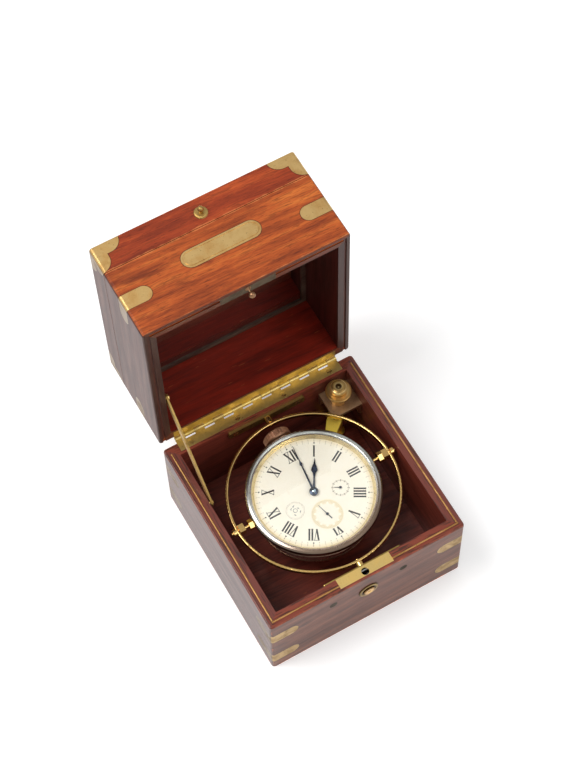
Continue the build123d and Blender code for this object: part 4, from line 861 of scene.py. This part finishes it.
markLook = {
    "offset": 0.0142, "rightAngle": 108.8, "leftAngle": 252.7, "degreesAnHour": 30,
    "longSpokes": (0.0036, 0.0048, 0.00028, 12), "shortSpokes": (0.0040, 0.0046, 0.00012, 60),
    "hub": (0.00085, 0.00016, 20), "outerRing": (0.0049, 0.00008, 48),
    "innerRing": (0.0044, 0.00005, 48), "blueRing": (0.0011, 0.00022, 20),
    "leaves": ((-0.0020, 0.0016, 0.0010), (-0.0004, 0.0024, 0.0014), (0.0023, 0.0004, -0.0008),
               (0.0017, -0.0019, 0.0009), (-0.0009, -0.0023, -0.0008)),
    "leafRise": 0.0005, "leafDrop": 0.0006, "leafWidth": 0.00030, "stemWidth": 0.00016,
    "stemLean": 0.6, "secondsSpokes": (0.0066, 0.0078, 0.00016, 60),
    "secondsRing": (0.0079, 0.00010, 60), "spotReach": 0.0064, "spotRadius": 0.0007,
    "spotLift": 0.00005,
}

top = dialLook["top"]
recess = top - dialLook["recess"]
strong, faint, blue = [], [], []
for hour, word in enumerate(printLook["words"]):
    strong += numeralLines(hour, word)
minutePlaces = [onDial(minute / 5, 0.0, printLook["dotReach"]) for minute in range(60)]
for minute in range(60):
    faint.append(rayLine(minute / 5, 0.0, printLook["tickFrom"], 0.0, printLook["tickTo"],
                         printLook["minuteTick" if minute % 5 else "hourTick"]))
rightDial, leftDial = (onDial(markLook[key] / markLook["degreesAnHour"], 0.0, markLook["offset"])
                       for key in ("rightAngle", "leftAngle"))
faint += spokeLines(rightDial, *markLook["longSpokes"])
faint += spokeLines(rightDial, *markLook["shortSpokes"])
strong += circleLines(rightDial, *markLook["hub"])
faint += circleLines(leftDial, *markLook["outerRing"])
faint += circleLines(leftDial, *markLook["innerRing"])
blue += circleLines(leftDial, *markLook["blueRing"])
for side, rise, lean in markLook["leaves"]:
    x, y = leftDial[0] + side, leftDial[1] + rise
    blue.append((x, y, x + lean, y + markLook["leafRise"], markLook["leafWidth"]))
    blue.append((x, y - markLook["leafDrop"], x + markLook["stemLean"] * lean, y,
                 markLook["stemWidth"]))
secondsDial = (watchPlace[0], watchPlace[1] - dialLook["secondsOffset"])
tan = spokeLines(secondsDial, *markLook["secondsSpokes"])
tan += circleLines(secondsDial, *markLook["secondsRing"])
spotPlaces = [polar(secondsDial, markLook["spotReach"], index * math.pi / 6) for index in range(12)]

blackInk = inkMaterial("blackInk", tint(22, 21, 22), tint(62, 58, 54))
fadedInk = inkMaterial("fadedInk", tint(112, 98, 72), tint(170, 154, 118))
tanInk = inkMaterial("tanInk", tint(212, 196, 154), tint(228, 216, 182))
paleInk = inkMaterial("paleInk", tint(250, 244, 224), tint(240, 230, 200))
blueInk = inkMaterial("blueInk", tint(78, 92, 100), tint(130, 136, 132))
for name, lines, level, material in (
        ("dialNumerals", strong, top, blackInk), ("dialMinutes", faint, top, fadedInk),
        ("dialMarks", blue, top, blueInk), ("secondsTrack", tan, recess, tanInk)):
    meshPiece(name, *strokePrisms(lines, level), material, "watch")
for name, places, radius, level, material in (
        ("hourDots", minutePlaces[::5], printLook["hourDot"], top, blackInk),
        ("minuteDots", [p for i, p in enumerate(minutePlaces) if i % 5], printLook["minuteDot"], top,
         fadedInk),
        ("secondsSpots", spotPlaces, markLook["spotRadius"], recess + markLook["spotLift"], paleInk)):
    meshPiece(name, *dotPrisms(places, radius, level), material, "watch")
print("dial printed")


# Polished cap on the minute hand's boss

capLook = {
    "radius": 0.0011, "height": 0.0003, "lift": 0.00001, "turns": 24, "rings": 6, "innerShare": 0.15,
}


def domeCap(centre):
    # a low polished cap: height falls with the square of the distance from its middle, flat below
    turns, rings = capLook["turns"], capLook["rings"]
    angle = np.linspace(0, 2 * np.pi, turns, endpoint=False)[None, :]
    share = np.linspace(1, capLook["innerShare"], rings)[:, None]
    x = centre[0] + capLook["radius"] * share * np.cos(angle)
    y = centre[1] + capLook["radius"] * share * np.sin(angle)
    z = centre[2] + capLook["height"] * (1 - share ** 2) + 0 * angle
    points = np.stack([x, y, z], axis=2).reshape(-1, 3)
    points = np.vstack([points, [centre[0], centre[1], centre[2] + capLook["height"]]])
    starts, steps = np.arange(rings - 1)[:, None] * turns, np.arange(turns)[None, :]
    first, after = (starts + steps).ravel(), (starts + (steps + 1) % turns).ravel()
    quads = np.stack([first, after, after + turns, first + turns], axis=1).tolist()
    last = (rings - 1) * turns
    tip = [(last + i, last + (i + 1) % turns, rings * turns) for i in range(turns)]
    return points, quads + tip + [tuple(range(turns))[::-1]]


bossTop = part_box("minute_hand")[1][2]
capSteel = metalMaterial("capSteel", tint(176, 200, 214), tint(110, 130, 146), 0.12, 0.3)
meshPiece("minuteCap", *domeCap((*watchPlace, bossTop + capLook["lift"])), capSteel, "minute",
          smooth=True)


# Floor, camera and light

floorLook = {"size": 3.0, "grey": 0.86, "roughness": 0.9, "glow": 0.30}
white = (1.0, 1.0, 1.0, 1.0)


def floorMaterial():
    material, tree, shader, _, _ = startMaterial("floorPaper")
    shader.inputs["Base Color"].default_value = (*[floorLook["grey"]] * 3, 1.0)
    shader.inputs["Roughness"].default_value = floorLook["roughness"]
    shader.inputs["Emission Color"].default_value = white
    rays = addNode(tree, "ShaderNodeLightPath")
    seen = maths(tree, "MAXIMUM", rays.outputs["Is Camera Ray"],
                 maths(tree, "MAXIMUM", rays.outputs["Is Glossy Ray"],
                       rays.outputs["Is Transmission Ray"]))
    plug(tree, shader, "Emission Strength", maths(tree, "MULTIPLY", seen, floorLook["glow"]))
    return material


corners = np.array([(-1, -1, 0), (1, -1, 0), (1, 1, 0), (-1, 1, 0)]) * floorLook["size"]
floor = addObject("floor", newMesh("floor", corners, [(0, 1, 2, 3)], floorMaterial()))

cameraLook = {
    "place": (-0.2190, -0.3963, 1.0249),
    "right": (0.8696, -0.4935, -0.0172),
    "up": (0.4434, 0.7650, 0.4672),
    "back": (-0.2174, -0.4139, 0.8840),
    "lens": 95.97,
    "sensor": 36.0,
}
eye = bpy.data.cameras.new("camera")
eye.lens = cameraLook["lens"]
eye.sensor_width = cameraLook["sensor"]
eye.sensor_fit = "AUTO"
camera = addObject("camera", eye)
turn = Matrix((cameraLook["right"], cameraLook["up"], cameraLook["back"])).transposed()
camera.matrix_world = Matrix.Translation(cameraLook["place"]) @ turn.to_quaternion().to_matrix().to_4x4()
bpy.context.scene.camera = camera

lights = {
    "keyLight": {"place": (-0.75, 0.35, 1.6), "size": 0.9, "power": 19},
    "fillLight": {"place": (0.7, -1.2, 1.3), "size": 1.2, "power": 9},
}
lightTarget = Vector((0, 0.03, 0.06))
for name, look in lights.items():
    lamp = bpy.data.lights.new(name, "AREA")
    lamp.shape = "DISK"
    lamp.size = look["size"]
    lamp.energy = look["power"]
    holder = addObject(name, lamp)
    holder.location = look["place"]
    holder.rotation_euler = (lightTarget - Vector(look["place"])).to_track_quat("-Z", "Y").to_euler()

worldLook = {"light": 0.55, "seen": 1.0}
world = bpy.data.worlds.new("studio")
bpy.context.scene.world = world
world.use_nodes = True
tree = world.node_tree
tree.nodes.clear()
sky = addNode(tree, "ShaderNodeBackground")
sky.inputs["Color"].default_value = white
rays = addNode(tree, "ShaderNodeLightPath")
seen = maths(tree, "MAXIMUM", rays.outputs["Is Camera Ray"], rays.outputs["Is Transmission Ray"])
plug(tree, sky, "Strength", ramp(tree, seen, 0.0, 1.0, worldLook["light"], worldLook["seen"]))
skyOut = addNode(tree, "ShaderNodeOutputWorld")
tree.links.new(sky.outputs[0], skyOut.inputs[0])
bpy.context.scene.view_settings.view_transform = "Standard"
print("stage, camera and lights set")
